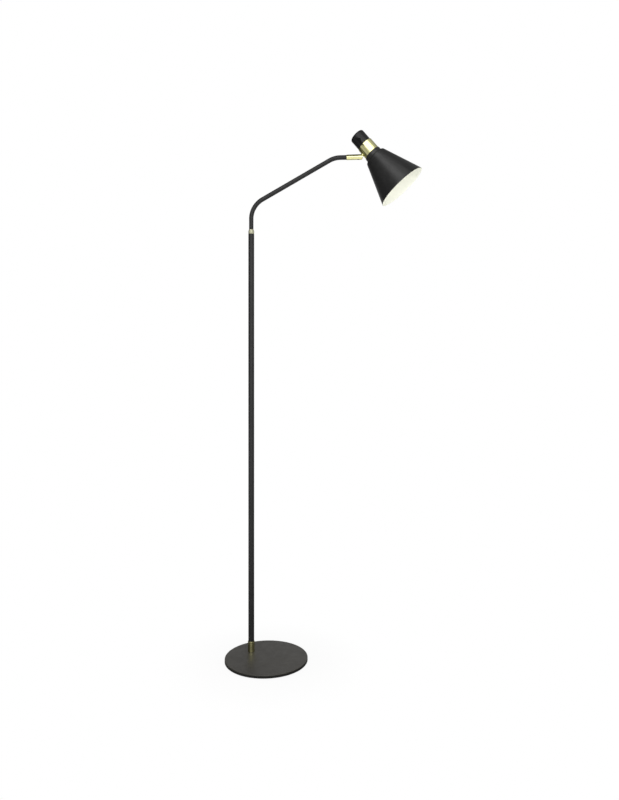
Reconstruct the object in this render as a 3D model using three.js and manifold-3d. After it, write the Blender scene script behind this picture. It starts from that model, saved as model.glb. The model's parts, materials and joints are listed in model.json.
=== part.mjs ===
// Adjustable-arm floor lamp: a round steel foot, an upright tube, a bent arm that swivels in the
// upright's brass ferrule, and a conical spun shade that tilts on a forked brass knuckle.
// Millimetres, +Z up. The origin is the centre of the foot's underside; the arm reaches along +X.
import * as THREE from "three";
import { mergeVertices } from "three/addons/utils/BufferGeometryUtils.js";
import Module from "manifold-3d";

const wasm = await Module();
wasm.setup();

// ---------------------------------------------------------------------------------------------
// Driving dimensions
// ---------------------------------------------------------------------------------------------

const seatGap = 0.2; // between pieces that bear on each other
const fitGap = 0.15; // radial, between a tube and what sits or turns in it
const holeGap = 0.3; // radial, round a screw, stud or thread
const overcut = 2; // how far a cutting tool runs past what it cuts

const foot = {
  padInset: 7, // from the plate's edge to the felt pad's
  padThickness: 1.5,
  diameter: 222,
  thickness: 8,
  edgeRadius: 1.5,
  edgeChamfer: 0.6,
  poleOffset: 57.5, // from the foot's centre to the upright
  poleBearing: 144.4, // degrees from +X, seen from above
  screwAccess: 4, // radial, round the screw's head in the felt
};

const footScrew = {
  diameter: 8,
  headDiameter: 16,
  gripInPlug: 18,
  socketAcrossFlats: 5,
  socketDepth: 3,
  tipChamfer: 1,
};

const pole = {
  diameter: 16,
  wall: 1,
  topHeight: 1155,
  bearingSpace: 1, // radial, from the upright's bore to the arm tube that turns in it
};

const footPlug = { flangeThickness: 3, spigotLength: 21, tipChamfer: 1 };
const footCollar = { wall: 1.1, height: 28, chamfer: 0.6 };

const gland = {
  height: 62, // above the floor
  boreDiameter: 5.4,
  bodyWall: 0.8,
  bodyReach: 1.2, // in from the tube's bore
  flangeLip: 1.5, // radial, beyond the body
  flangeStand: 1.6, // out from the tube
  flangeChamfer: 0.5,
};

const ferrule = {
  collarHeight: 12,
  straightHeight: 7.5,
  topWall: 0.65,
  topRound: 0.6,
  spigotLength: 18,
};

const lowerBush = {
  length: 22,
  shoulder: 4,
  shoulderLip: 0.5, // in from the arm tube's bore
  tabHeight: 6,
  tabWidth: 1,
};

const arm = {
  wall: 1,
  insertion: 65, // below the top of the upright
  firstCorner: 77.9, // above the top of the upright
  slopeLength: 260.2, // from corner to corner
  slopeAngle: 28.8, // degrees above horizontal
  endLength: 57.6, // from the second corner to the tube's end
  bendRadius: 60,
};

const stopPin = { diameter: 2, reachIn: 0.3 }; // in from the arm tube's bore
const frictionRing = { gap: 0.08 }; // radial, to each tube

const sleeve = {
  wall: 0.85,
  length: 43.5,
  overlap: 24, // of the arm tube
  wireHole: 6,
  chamfer: 0.5,
};

const knuckle = {
  aboveCupEnd: 14, // from the cup's lower end to the pivot, along the head's axis
  standOff: 8.8, // from the band to the pivot
  tongueThickness: 3,
  eyeInset: 0.7, // from the fork's round end to the tongue's
  tongueWidth: 8.4,
  slotClearance: 1, // between the tongue's eye and the bottom of the fork
  washerThickness: 0.8,
  washerInset: 0.55, // from the tongue's round end
  screwDiameter: 4,
  screwHead: 7,
  screwHeadHeight: 2,
  screwHeadRound: 1.2,
  screwSlot: 1,
  screwSlotDepth: 0.9,
  screwSkin: 1.4, // left on the front cheek's blind hole
  flangeDiameter: 10,
  flangeGap: 0.4, // between the tongue's flange and the fork's round end
  studDiameter: 5,
};

const tiltAtRest = 40.4; // degrees that the shade is lifted from pointing straight down

const cup = { wall: 1, roofThickness: 1.2, edgeRadius: 5, length: 65.7 };
const band = { length: 30.6, wall: 1.4, chamfer: 0.4 };
const slipGap = 0.25; // radial, between the cup and what slides in or over it

const shade = {
  wall: 0.8,
  neckStep: 1.1, // out from the band
  neckLength: 10.5,
  neckFlare: 0.9, // radial, over the neck's length
  neckRound: 0.8,
  shoulderWidth: 3.6,
  shoulderRise: 1.2,
  cornerWidth: 2.7,
  cornerHeight: 3.4,
  cornerFullness: 0.7, // of the way to a square corner
  coneLength: 108.3,
  rimDiameter: 138,
  edgeRound: 0.45,
};

const bracket = {
  thickness: 1,
  width: 11,
  padDiameter: 20,
  aboveCupEnd: 34, // from the cup's lower end to the face that the lampholder hangs on
  legBelowStud: 4.8,
};
const nipple = { diameter: 10, bore: 7.2, above: 6, length: 16 };
const nippleNut = { acrossFlats: 14, thickness: 3 };
const tongueNut = { acrossFlats: 8, thickness: 2, studBeyond: 0.1 };

const bulb = {
  capDiameter: 26.2,
  capWall: 0.5,
  capChamfer: 3,
  capLip: 1, // where the crown meets the insulator
  capLength: 21,
  insulatorHeight: 2.6,
  contactDiameter: 9,
  contactRound: 0.8,
  contactGap: 0.4,
  collarStep: 0.3, // of the neck, out from the cap
  collarHeight: 2,
  neckLength: 18.5,
  globeDiameter: 45,
  globeWall: 1.2,
  globeOpening: 32.4, // degrees above the globe's middle at which the neck meets it
};

// A standard lampholder in insulating material, sized from the bulb's screw cap outwards.
const holder = {
  threadGap: 0.4, // radial, between the bulb's cap and the thread shell
  shellWall: 0.6,
  shellLength: 22,
  insertLip: 0.3, // of the insert, beyond the shell
  insertBlock: 11,
  insertFlange: 3.6,
  skirtWall: 1.3,
  skirtGroove: 2.05, // between the skirt's two walls
  skirtChamfer: 0.6,
  skirtLength: 30,
  mouthThickness: 2.2,
  capOverhang: 0.6, // beyond the insert's flange
  capWall: 1.5,
  capSpace: 0.7, // radial, round the insert's block
  capEntry: 16,
  capShoulderDrop: 1,
  capDomeHeight: 11,
  capLength: 30.3,
  rivetDiameter: 2.8,
  rivetHead: 1,
  leafThickness: 0.6,
  leafWidth: 5,
  leafLength: 15,
  leafRise: 2.2,
};

const shadeRing = {
  height: 6.5,
  thickness: 2,
  chamfer: 0.5,
  ribs: 12,
  ribRadius: 1,
  ribDepth: 0.6,
  ribStop: 1.2,
};

const fine = 48; // sides of the large round pieces
const medium = 32; // sides of the tubes and turned parts
const coarse = 24; // sides of screws and of what is hidden inside
const ribSides = 8; // sides of the small grooves of a grip
const bendStep = 12; // degrees that a bend turns at each step

// ---------------------------------------------------------------------------------------------
// Finishes
// ---------------------------------------------------------------------------------------------

function finish(color, roughness, metalness) {
  return { color, roughness, metalness };
}

const blackPowder = finish(0x262624, 0.5, 0.1);
const polishedBrass = finish(0xc9b26a, 0.18, 1);
const zincSteel = finish(0x9a9c9e, 0.35, 1);
const blackNylon = finish(0x1c1c1c, 0.6, 0);
const paleNylon = finish(0xd8d5c8, 0.55, 0);
const blackFelt = finish(0x151515, 0.95, 0);
const blackRubber = finish(0x101010, 0.85, 0);
const bakelite = finish(0x161514, 0.3, 0);
const nickel = finish(0xb9b7b0, 0.25, 1);
const whitePlastic = finish(0xeeeeea, 0.4, 0);
const opalGlobe = finish(0xf6f4ee, 0.35, 0);

// ---------------------------------------------------------------------------------------------
// Geometry helpers
// ---------------------------------------------------------------------------------------------

function radians(degrees) {
  return (degrees * Math.PI) / 180;
}

// Points of an arc in a profile, from one angle to another in degrees.
function arc(centreR, centreZ, radius, from, to, steps) {
  const points = [];
  for (let i = 0; i <= steps; i++) {
    const angle = radians(from + ((to - from) * i) / steps);
    points.push([centreR + radius * Math.cos(angle), centreZ + radius * Math.sin(angle)]);
  }
  return points;
}

// Area inside a closed profile: positive when its points run anticlockwise.
function signedArea(profile) {
  let sum = 0;
  profile.forEach(([r, z], i) => {
    const [nextR, nextZ] = profile[(i + 1) % profile.length];
    sum += r * nextZ - nextR * z;
  });
  return sum / 2;
}

// Turns a profile of [radius, height] points round +Z. A profile that keeps off the axis is closed.
function revolve(profile, sides) {
  const ordered = signedArea(profile) > 0 ? profile : [...profile].reverse();
  const firstOnAxis = ordered.findIndex(([r], i) => {
    const [previousR] = ordered[(i + ordered.length - 1) % ordered.length];
    return r === 0 && previousR === 0;
  });
  const onAxis = firstOnAxis >= 0;
  const points = onAxis
    ? [...ordered.slice(firstOnAxis), ...ordered.slice(0, firstOnAxis)]
    : [...ordered, ordered[0]];
  const vectors = points.map(([r, z]) => new THREE.Vector2(r, z));
  return new THREE.LatheGeometry(vectors, sides).rotateX(Math.PI / 2);
}

function tubeProfile(innerRadius, outerRadius, low, high) {
  return [
    [innerRadius, low],
    [outerRadius, low],
    [outerRadius, high],
    [innerRadius, high],
  ];
}

function ring(innerRadius, outerRadius, low, high, sides) {
  return revolve(tubeProfile(innerRadius, outerRadius, low, high), sides);
}

function rod(radius, low, high, sides) {
  return revolve(tubeProfile(0, radius, low, high), sides);
}

function prism(shape, low, high, curveSegments = 12) {
  const settings = { depth: high - low, bevelEnabled: false, curveSegments };
  return new THREE.ExtrudeGeometry(shape, settings).translate(0, 0, low);
}

function block(x, y, z) {
  return new THREE.BoxGeometry(x[1] - x[0], y[1] - y[0], z[1] - z[0]).translate(
    (x[0] + x[1]) / 2,
    (y[0] + y[1]) / 2,
    (z[0] + z[1]) / 2,
  );
}

function hexagon(acrossFlats) {
  const shape = new THREE.Shape();
  const radius = acrossFlats / 2 / Math.cos(Math.PI / 6);
  for (let i = 0; i < 6; i++) {
    const angle = (i * Math.PI) / 3;
    const x = radius * Math.cos(angle);
    const y = radius * Math.sin(angle);
    if (i === 0) shape.moveTo(x, y);
    else shape.lineTo(x, y);
  }
  shape.closePath();
  return shape;
}

function hexNut(size, boreRadius, low) {
  const shape = hexagon(size.acrossFlats);
  const bore = new THREE.Path();
  bore.absarc(0, 0, boreRadius, 0, 2 * Math.PI, true);
  shape.holes.push(bore);
  return prism(shape, low, low + size.thickness);
}

function solid(geometry) {
  const bare = geometry.index ? geometry.toNonIndexed() : geometry.clone();
  bare.deleteAttribute("normal");
  bare.deleteAttribute("uv");
  const merged = mergeVertices(bare, 1e-4);
  return new wasm.Manifold(
    new wasm.Mesh({
      numProp: 3,
      vertProperties: merged.attributes.position.array,
      triVerts: new Uint32Array(merged.index.array),
    }),
  );
}

function geometryOf(manifold) {
  const { vertProperties, triVerts } = manifold.getMesh();
  const geometry = new THREE.BufferGeometry();
  geometry.setAttribute("position", new THREE.BufferAttribute(vertProperties, 3));
  geometry.setIndex(new THREE.BufferAttribute(triVerts, 1));
  return geometry;
}

function join(first, ...others) {
  return geometryOf(others.reduce((sum, other) => sum.add(solid(other)), solid(first)));
}

function cut(body, ...tools) {
  return geometryOf(tools.reduce((rest, tool) => rest.subtract(solid(tool)), solid(body)));
}

function common(first, second) {
  return geometryOf(solid(first).intersect(solid(second)));
}

// Points +Z geometry along +X or +Y.
function alongX(geometry) {
  return geometry.rotateY(Math.PI / 2);
}

function alongY(geometry) {
  return geometry.rotateX(-Math.PI / 2);
}

function piece(name, geometry, look) {
  const mesh = new THREE.Mesh(geometry, new THREE.MeshStandardMaterial(look));
  mesh.name = name;
  return mesh;
}

// The centreline of a tube bent in the X-Z plane: straights joined by arcs. Each straight is one
// step and each bend a few, so a sweep along it wastes no faces.
class BentCentreline extends THREE.Curve {
  constructor(corners, bendRadius, degreesPerStep) {
    super();
    this.stations = [corners[0]];
    for (let i = 1; i < corners.length - 1; i++) {
      this.addBend(corners[i - 1], corners[i], corners[i + 1], bendRadius, radians(degreesPerStep));
    }
    this.stations.push(corners[corners.length - 1]);
  }

  addBend(before, corner, after, bendRadius, stepAngle) {
    const incoming = corner.clone().sub(before).normalize();
    const outgoing = after.clone().sub(corner).normalize();
    const turn = incoming.angleTo(outgoing);
    const steps = Math.ceil(turn / stepAngle);
    const start = corner.clone().addScaledVector(incoming, -bendRadius * Math.tan(turn / 2));
    const inward = outgoing.clone().addScaledVector(incoming, -Math.cos(turn)).normalize();
    for (let i = 0; i <= steps; i++) {
      const angle = (turn * i) / steps;
      const point = start.clone();
      point.addScaledVector(incoming, bendRadius * Math.sin(angle));
      point.addScaledVector(inward, bendRadius * (1 - Math.cos(angle)));
      this.stations.push(point);
    }
  }

  get steps() {
    return this.stations.length - 1;
  }

  getUtoTmapping(u) {
    return u;
  }

  getPoint(t, target = new THREE.Vector3()) {
    const place = Math.min(t * this.steps, this.steps - 1e-9);
    const index = Math.floor(place);
    return target.lerpVectors(this.stations[index], this.stations[index + 1], place - index);
  }

  getTangent(t, target = new THREE.Vector3()) {
    const index = Math.round(t * this.steps);
    const before = this.stations[Math.max(index - 1, 0)];
    const here = this.stations[index];
    const after = this.stations[Math.min(index + 1, this.steps)];
    const arriving = here.clone().sub(before).normalize();
    const leaving = after.clone().sub(here).normalize();
    return target.addVectors(arriving, leaving).normalize();
  }
}

// Sweeps a round tube wall along a centreline.
function sweepTube(centreline, innerRadius, outerRadius, sides) {
  const section = new THREE.Shape();
  section.absarc(0, 0, outerRadius, 0, 2 * Math.PI, false);
  const bore = new THREE.Path();
  bore.absarc(0, 0, innerRadius, 0, 2 * Math.PI, true);
  section.holes.push(bore);
  return new THREE.ExtrudeGeometry(section, {
    extrudePath: centreline,
    steps: centreline.steps,
    curveSegments: sides / 2,
  });
}

// The open line that lies one wall thickness inside an outer line drawn from top to bottom.
function offsetLine(points, distance) {
  return points.map(([r, z], i) => {
    const [r0, z0] = points[Math.max(i - 1, 0)];
    const [r1, z1] = points[Math.min(i + 1, points.length - 1)];
    const before = new THREE.Vector2(r - r0, z - z0).normalize();
    const after = new THREE.Vector2(r1 - r, z1 - z).normalize();
    const along = before.clone().add(after).normalize();
    const mitre = Math.sqrt((1 + before.dot(after)) / 2) || 1;
    const reach = distance / Math.max(mitre, 0.5);
    return [r + along.y * reach, z - along.x * reach];
  });
}

// ---------------------------------------------------------------------------------------------
// Stand: foot, upright and the fixed half of the swivel
// ---------------------------------------------------------------------------------------------

const poleX = foot.poleOffset * Math.cos(radians(foot.poleBearing));
const poleY = foot.poleOffset * Math.sin(radians(foot.poleBearing));
const poleRadius = pole.diameter / 2;
const poleBore = poleRadius - pole.wall;
const armRadius = poleBore - pole.bearingSpace;
const armBore = armRadius - arm.wall;
const plateLow = foot.padThickness;
const plateHigh = plateLow + foot.thickness;
const poleLow = plateHigh + seatGap + footPlug.flangeThickness + seatGap;

function basePad() {
  const disc = rod(foot.diameter / 2 - foot.padInset, 0, foot.padThickness - seatGap, fine);
  const access = rod(footScrew.headDiameter / 2 + foot.screwAccess, -overcut, plateLow + overcut, coarse);
  return cut(disc, access.translate(poleX, poleY, 0));
}

function basePlate() {
  const radius = foot.diameter / 2;
  const round = arc(radius - foot.edgeRadius, plateHigh - foot.edgeRadius, foot.edgeRadius, 0, 90, 3);
  const disc = revolve(
    [[0, plateLow], [radius - foot.edgeChamfer, plateLow], [radius, plateLow + foot.edgeChamfer],
      ...round, [0, plateHigh]],
    fine,
  );
  const holeRadius = footScrew.diameter / 2 + holeGap;
  const sinkRadius = footScrew.headDiameter / 2 + holeGap;
  const sinkLow = plateLow + seatGap;
  const sinkHigh = sinkLow + sinkRadius - holeRadius;
  const screwHole = revolve(
    [[0, plateLow - overcut], [sinkRadius, plateLow - overcut], [sinkRadius, sinkLow],
      [holeRadius, sinkHigh], [holeRadius, plateHigh + overcut], [0, plateHigh + overcut]],
    coarse,
  );
  return cut(disc, screwHole.translate(poleX, poleY, 0));
}

// Countersunk screw with a hexagon socket, driven up through the foot.
function footScrewSolid() {
  const low = plateLow + seatGap;
  const headRadius = footScrew.headDiameter / 2;
  const shankRadius = footScrew.diameter / 2;
  const { tipChamfer } = footScrew;
  const high = plateHigh + seatGap + footScrew.gripInPlug;
  const body = revolve(
    [[0, low], [headRadius, low], [shankRadius, low + headRadius - shankRadius],
      [shankRadius, high - tipChamfer], [shankRadius - tipChamfer, high], [0, high]],
    coarse,
  );
  return cut(body, prism(hexagon(footScrew.socketAcrossFlats), low - overcut, low + footScrew.socketDepth));
}

function footPlugSolid() {
  const low = plateHigh + seatGap;
  const shoulder = low + footPlug.flangeThickness;
  const high = shoulder + footPlug.spigotLength;
  const bore = footScrew.diameter / 2 + holeGap;
  const spigot = poleBore - fitGap;
  const { tipChamfer } = footPlug;
  return revolve(
    [[bore, low], [poleRadius, low], [poleRadius, shoulder], [spigot, shoulder],
      [spigot, high - tipChamfer], [spigot - tipChamfer, high], [bore, high]],
    coarse,
  );
}

function footCollarSolid() {
  const inner = poleRadius + fitGap;
  const outer = inner + footCollar.wall;
  const low = plateHigh + seatGap;
  const high = plateHigh + footCollar.height;
  const { chamfer } = footCollar;
  return revolve(
    [[inner, low], [outer, low], [outer, high - chamfer], [outer - chamfer, high], [inner, high]],
    medium,
  );
}

const glandRadius = gland.boreDiameter / 2 + gland.bodyWall;

function glandHole() {
  const radius = glandRadius + holeGap;
  return alongY(rod(radius, poleBore - overcut, poleRadius + overcut, coarse)).translate(0, 0, gland.height);
}

function poleTube() {
  return cut(ring(poleBore, poleRadius, poleLow, pole.topHeight, medium), glandHole());
}

// Bush for the flex in the back of the upright, its flange saddled to the tube.
function cableGland() {
  const face = poleRadius + gland.flangeStand;
  const rim = face - gland.flangeChamfer;
  const flangeRadius = glandRadius + gland.flangeLip;
  const flange = alongY(
    revolve(
      [[0, 0], [flangeRadius, 0], [flangeRadius, rim], [flangeRadius - gland.flangeChamfer, face], [0, face]],
      coarse,
    ),
  );
  const saddle = cut(flange, rod(poleRadius + seatGap, -2 * flangeRadius, 2 * flangeRadius, medium));
  const inner = poleBore - gland.bodyReach;
  const body = alongY(rod(glandRadius, inner, rim, coarse));
  const bore = alongY(rod(gland.boreDiameter / 2, inner - overcut, face + overcut, coarse));
  return cut(join(saddle, body), bore).translate(0, 0, gland.height);
}

// Turned collar that finishes the upright; its spigot guides the arm tube.
function ferruleSolid() {
  const bore = armRadius + fitGap;
  const spigot = poleBore - fitGap;
  const low = pole.topHeight + seatGap;
  const high = low + ferrule.collarHeight;
  const topRadius = bore + ferrule.topWall;
  const round = arc(topRadius - ferrule.topRound, high - ferrule.topRound, ferrule.topRound, 0, 90, 2);
  return revolve(
    [[bore, low - ferrule.spigotLength], [spigot, low - ferrule.spigotLength], [spigot, low],
      [poleRadius, low], [poleRadius, low + ferrule.straightHeight], ...round, [bore, high]],
    medium,
  );
}

const armLow = pole.topHeight - arm.insertion;
const bushTop = armLow - seatGap - lowerBush.shoulder + lowerBush.length;
const tabTop = bushTop + lowerBush.tabHeight;

// Nylon bush that carries the arm tube's lower end, with the tab that stops the swivel.
function lowerBushSolid() {
  const outer = poleBore - fitGap;
  const bore = armRadius + fitGap;
  const shoulderTop = armLow - seatGap;
  const low = bushTop - lowerBush.length;
  const high = bushTop;
  const shoulderBore = armBore - lowerBush.shoulderLip;
  const body = revolve(
    [[shoulderBore, low], [outer, low], [outer, high], [bore, high], [bore, shoulderTop],
      [shoulderBore, shoulderTop]],
    coarse,
  );
  const tabWindow = block(
    [-outer - overcut, 0],
    [-lowerBush.tabWidth / 2, lowerBush.tabWidth / 2],
    [high - overcut, tabTop],
  );
  return join(body, common(ring(bore, outer, high - overcut, tabTop, coarse), tabWindow));
}

// ---------------------------------------------------------------------------------------------
// Arm: bent tube with the forked sleeve on its end
// ---------------------------------------------------------------------------------------------

const slope = radians(arm.slopeAngle);
const firstCornerHeight = pole.topHeight + arm.firstCorner;
const endHeight = firstCornerHeight + arm.slopeLength * Math.sin(slope);
const secondCornerX = arm.slopeLength * Math.cos(slope);
const armEndX = secondCornerX + arm.endLength;
const sleeveStartX = armEndX - sleeve.overlap;
const sleeveRadius = armRadius + fitGap + sleeve.wall;
const pivotX = sleeveStartX + sleeve.length - sleeveRadius;
const pinHeight = (bushTop + tabTop + seatGap) / 2;
const ringHeight = (tabTop + pole.topHeight + seatGap - ferrule.spigotLength) / 2;
const forkHalf = knuckle.tongueThickness / 2 + 2 * seatGap + knuckle.washerThickness;
const eyeRadius = sleeveRadius - knuckle.eyeInset;

function armTube() {
  const centreline = new BentCentreline(
    [
      new THREE.Vector3(0, 0, armLow),
      new THREE.Vector3(0, 0, firstCornerHeight),
      new THREE.Vector3(secondCornerX, 0, endHeight),
      new THREE.Vector3(armEndX, 0, endHeight),
    ],
    arm.bendRadius,
    bendStep,
  );
  const tube = sweepTube(centreline, armBore, armRadius, coarse);
  const pinHole = alongX(rod(stopPin.diameter / 2 + holeGap, 0, armRadius + overcut, coarse));
  return cut(tube, pinHole.translate(0, 0, pinHeight));
}

function stopPinSolid() {
  const pin = alongX(rod(stopPin.diameter / 2, armBore - stopPin.reachIn, poleBore - seatGap, coarse));
  return pin.translate(0, 0, pinHeight);
}

function frictionRingSolid() {
  const centre = (armRadius + poleBore) / 2;
  const section = (poleBore - armRadius) / 2 - frictionRing.gap;
  return revolve(arc(centre, ringHeight, section, 0, 315, 7), coarse);
}

// The sleeve grips the arm tube and ends in a fork rounded about the pivot.
function sleeveSolid() {
  const bore = armRadius + fitGap;
  const shoulder = sleeve.overlap + seatGap;
  const wire = sleeve.wireHole / 2;
  const { chamfer, length } = sleeve;
  const turned = alongX(
    revolve(
      [[bore, 0], [sleeveRadius - chamfer, 0], [sleeveRadius, chamfer], [sleeveRadius, length],
        [wire, length], [wire, shoulder], [bore, shoulder]],
      medium,
    ),
  );
  const pivot = length - sleeveRadius;
  const beyond = 2 * sleeveRadius;
  const outline = new THREE.Shape();
  outline.moveTo(-overcut, -beyond);
  outline.lineTo(pivot, -beyond);
  outline.lineTo(pivot, -sleeveRadius);
  outline.absarc(pivot, 0, sleeveRadius, -Math.PI / 2, Math.PI / 2, false);
  outline.lineTo(pivot, beyond);
  outline.lineTo(-overcut, beyond);
  outline.closePath();
  const envelope = prism(outline, -beyond, beyond, medium / 4).rotateX(Math.PI / 2);
  const slotEnd = pivot - eyeRadius - knuckle.slotClearance;
  const slot = block([slotEnd, length + overcut], [-forkHalf, forkHalf], [-beyond, beyond]);
  const shank = knuckle.screwDiameter / 2 + holeGap;
  const screwHole = alongY(rod(shank, -sleeveRadius + knuckle.screwSkin, beyond, coarse));
  const seat = alongY(rod(knuckle.screwHead / 2 + holeGap, headSeat(), beyond, coarse));
  return cut(
    common(turned, envelope),
    slot,
    screwHole.translate(pivot, 0, 0),
    seat.translate(pivot, 0, 0),
  ).translate(sleeveStartX, 0, endHeight);
}

// The spot-face for the pivot screw's head, as deep as the sleeve's round side needs.
function headSeat() {
  const reach = knuckle.screwHead / 2 + holeGap;
  return Math.sqrt(sleeveRadius ** 2 - reach ** 2) - seatGap;
}

function pivotScrew() {
  const headRadius = knuckle.screwHead / 2;
  const shank = knuckle.screwDiameter / 2;
  const tip = -sleeveRadius + knuckle.screwSkin + holeGap;
  const under = headSeat() + seatGap;
  const top = under + knuckle.screwHeadHeight;
  const round = knuckle.screwHeadRound;
  const dome = arc(headRadius - round, top - round, round, 0, 90, 3);
  const body = alongY(
    revolve(
      [[0, tip], [shank, tip], [shank, under], [headRadius, under], ...dome, [0, top]],
      coarse,
    ),
  );
  const slot = block(
    [-headRadius - overcut, headRadius + overcut],
    [top - knuckle.screwSlotDepth, top + overcut],
    [-knuckle.screwSlot / 2, knuckle.screwSlot / 2],
  );
  return cut(body, slot).translate(pivotX, 0, endHeight);
}

function frictionWasher(side) {
  const low = knuckle.tongueThickness / 2 + seatGap;
  const bore = knuckle.screwDiameter / 2 + fitGap;
  const washer = ring(bore, eyeRadius - knuckle.washerInset, low, low + knuckle.washerThickness, coarse);
  const turned = side > 0 ? alongY(washer) : alongY(washer).rotateX(Math.PI);
  return turned.translate(pivotX, 0, endHeight);
}

// ---------------------------------------------------------------------------------------------
// Head: everything here is drawn with the head's axis on Z, its top at 0 and the shade below
// ---------------------------------------------------------------------------------------------

const bulbCapRadius = bulb.capDiameter / 2;
const shellBore = bulbCapRadius + holder.threadGap;
const shellRadius = shellBore + holder.shellWall;
const insertRadius = shellRadius + holder.insertLip;
const skirtBore = insertRadius + seatGap;
const skirtRadius = skirtBore + 2 * holder.skirtWall + holder.skirtGroove;
const holderCapRadius = insertRadius + holder.capOverhang;
const cupBore = skirtRadius + slipGap;
const cupRadius = cupBore + cup.wall;
const bandBore = cupRadius + slipGap;
const bandRadius = bandBore + band.wall;
const reach = bandRadius + knuckle.standOff; // from the pivot to the head's axis
const pivotDepth = cup.length - knuckle.aboveCupEnd;
const pivotZ = -pivotDepth;
const studRadius = knuckle.studDiameter / 2;
const legOuter = Math.sqrt(cupBore ** 2 - (bracket.width / 2) ** 2) - seatGap;
const legInner = legOuter - bracket.thickness;
const nutOuter = legInner - seatGap;
const studEnd = nutOuter - tongueNut.thickness - tongueNut.studBeyond;
const webTop = bracket.aboveCupEnd - cup.length;
const webLow = webTop - bracket.thickness;
const capTop = webLow - seatGap;
const capLow = capTop - holder.capLength;
const skirtTop = capLow - seatGap;
const skirtLow = skirtTop - holder.skirtLength;
const insertFace = skirtTop - holder.insertFlange;
const neckRadius = bandRadius + shade.neckStep;
const neckTop = -cup.length - holeGap;

// A round hole through the walls on the pivot side.
function studHole() {
  return alongX(rod(studRadius + holeGap, -bandRadius - overcut, 0, coarse)).translate(0, 0, pivotZ);
}

function holderCup() {
  const innerEdge = cup.edgeRadius - cup.wall;
  const outerRound = arc(cupRadius - cup.edgeRadius, -cup.edgeRadius, cup.edgeRadius, 0, 90, 4);
  const innerRound = arc(cupBore - innerEdge, -cup.roofThickness - innerEdge, innerEdge, 90, 0, 2);
  const shell = revolve(
    [[cupBore, -cup.length], [cupRadius, -cup.length], ...outerRound, [0, 0], [0, -cup.roofThickness],
      ...innerRound],
    medium,
  );
  return cut(shell, studHole());
}

function brassBand() {
  const low = -cup.length;
  const high = low + band.length;
  const { chamfer } = band;
  const shell = revolve(
    [[bandBore, low], [bandRadius - chamfer, low], [bandRadius, low + chamfer],
      [bandRadius, high - chamfer], [bandRadius - chamfer, high], [bandBore, high]],
    medium,
  );
  return cut(shell, studHole());
}

// The outer line of the shade, from the top of its neck to the rim.
function shadeOuterLine() {
  const { neckRound, cornerWidth, cornerHeight, cornerFullness } = shade;
  const neckEnd = neckRadius + shade.neckFlare;
  const shoulderStart = neckTop - shade.neckLength;
  const shoulderEnd = shoulderStart - shade.shoulderRise;
  const cornerStart = neckEnd + shade.shoulderWidth;
  const corner = new THREE.QuadraticBezierCurve(
    new THREE.Vector2(cornerStart, shoulderEnd),
    new THREE.Vector2(
      cornerStart + cornerFullness * cornerWidth,
      shoulderEnd - (1 - cornerFullness) * cornerHeight,
    ),
    new THREE.Vector2(cornerStart + cornerWidth, shoulderEnd - cornerHeight),
  );
  return [
    [neckRadius - neckRound, neckTop],
    [neckRadius, neckTop - neckRound],
    [neckEnd, shoulderStart + neckRound],
    [neckEnd + neckRound, shoulderStart],
    ...corner.getPoints(3).map((p) => [p.x, p.y]),
    [shade.rimDiameter / 2, shoulderEnd - cornerHeight - shade.coneLength],
  ];
}

function shadeSolid() {
  const outer = shadeOuterLine();
  const inner = offsetLine(outer, shade.wall).reverse();
  const [rimR, rimZ] = outer[outer.length - 1];
  const flangeBore = skirtRadius + holeGap;
  const flangeLow = neckTop - shade.wall;
  const wall = [
    ...outer,
    [rimR - shade.wall / 4, rimZ - shade.edgeRound],
    ...inner.filter(([, z]) => z < flangeLow - shade.wall),
    [neckRadius - shade.wall, flangeLow],
    [flangeBore, flangeLow],
    [flangeBore, neckTop],
  ];
  return revolve(wall, fine);
}

// Angle bracket: its leg is held to the cup by the tongue's stud, its pad carries the lampholder.
function holderBracket() {
  const half = bracket.width / 2;
  const pad = new THREE.Shape();
  pad.absarc(0, 0, bracket.padDiameter / 2, 0, 2 * Math.PI, false);
  const web = prism(pad, webLow, webTop, coarse / 2);
  const bridge = block([-legOuter, 0], [-half, half], [webLow, webTop]);
  const leg = block([-legOuter, -legInner], [-half, half], [pivotZ - bracket.legBelowStud, webTop]);
  const nippleHole = rod(nipple.diameter / 2 + holeGap, webLow - overcut, webTop + overcut, coarse);
  return cut(join(web, bridge, leg), nippleHole, studHole());
}

function holderNipple() {
  const high = webTop + nipple.above;
  return ring(nipple.bore / 2, nipple.diameter / 2, high - nipple.length, high, coarse);
}

function nippleNutSolid() {
  return hexNut(nippleNut, nipple.diameter / 2 + holeGap, webTop + seatGap);
}

function tongueNutSolid() {
  const nut = hexNut(tongueNut, studRadius + holeGap, 0).rotateZ(Math.PI / 6);
  return alongX(nut).translate(-nutOuter, 0, pivotZ);
}

// Domed terminal cover of the lampholder, screwed on the nipple.
function lampholderCap() {
  const outer = holderCapRadius;
  const inner = outer - holder.capWall;
  const entry = holder.capEntry / 2;
  const bore = nipple.diameter / 2 + holeGap;
  const outerDome = new THREE.QuadraticBezierCurve(
    new THREE.Vector2(entry, capTop),
    new THREE.Vector2(outer, capTop - holder.capShoulderDrop),
    new THREE.Vector2(outer, capTop - holder.capDomeHeight),
  );
  const line = outerDome.getPoints(3).map((p) => [p.x, p.y]);
  const lining = offsetLine(line, holder.capWall).slice(1).reverse();
  return revolve(
    [[bore, capTop], ...line, [outer, capLow], [inner, capLow], ...lining,
      [bore, capTop - 2 * holder.capWall]],
    coarse,
  );
}

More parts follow.
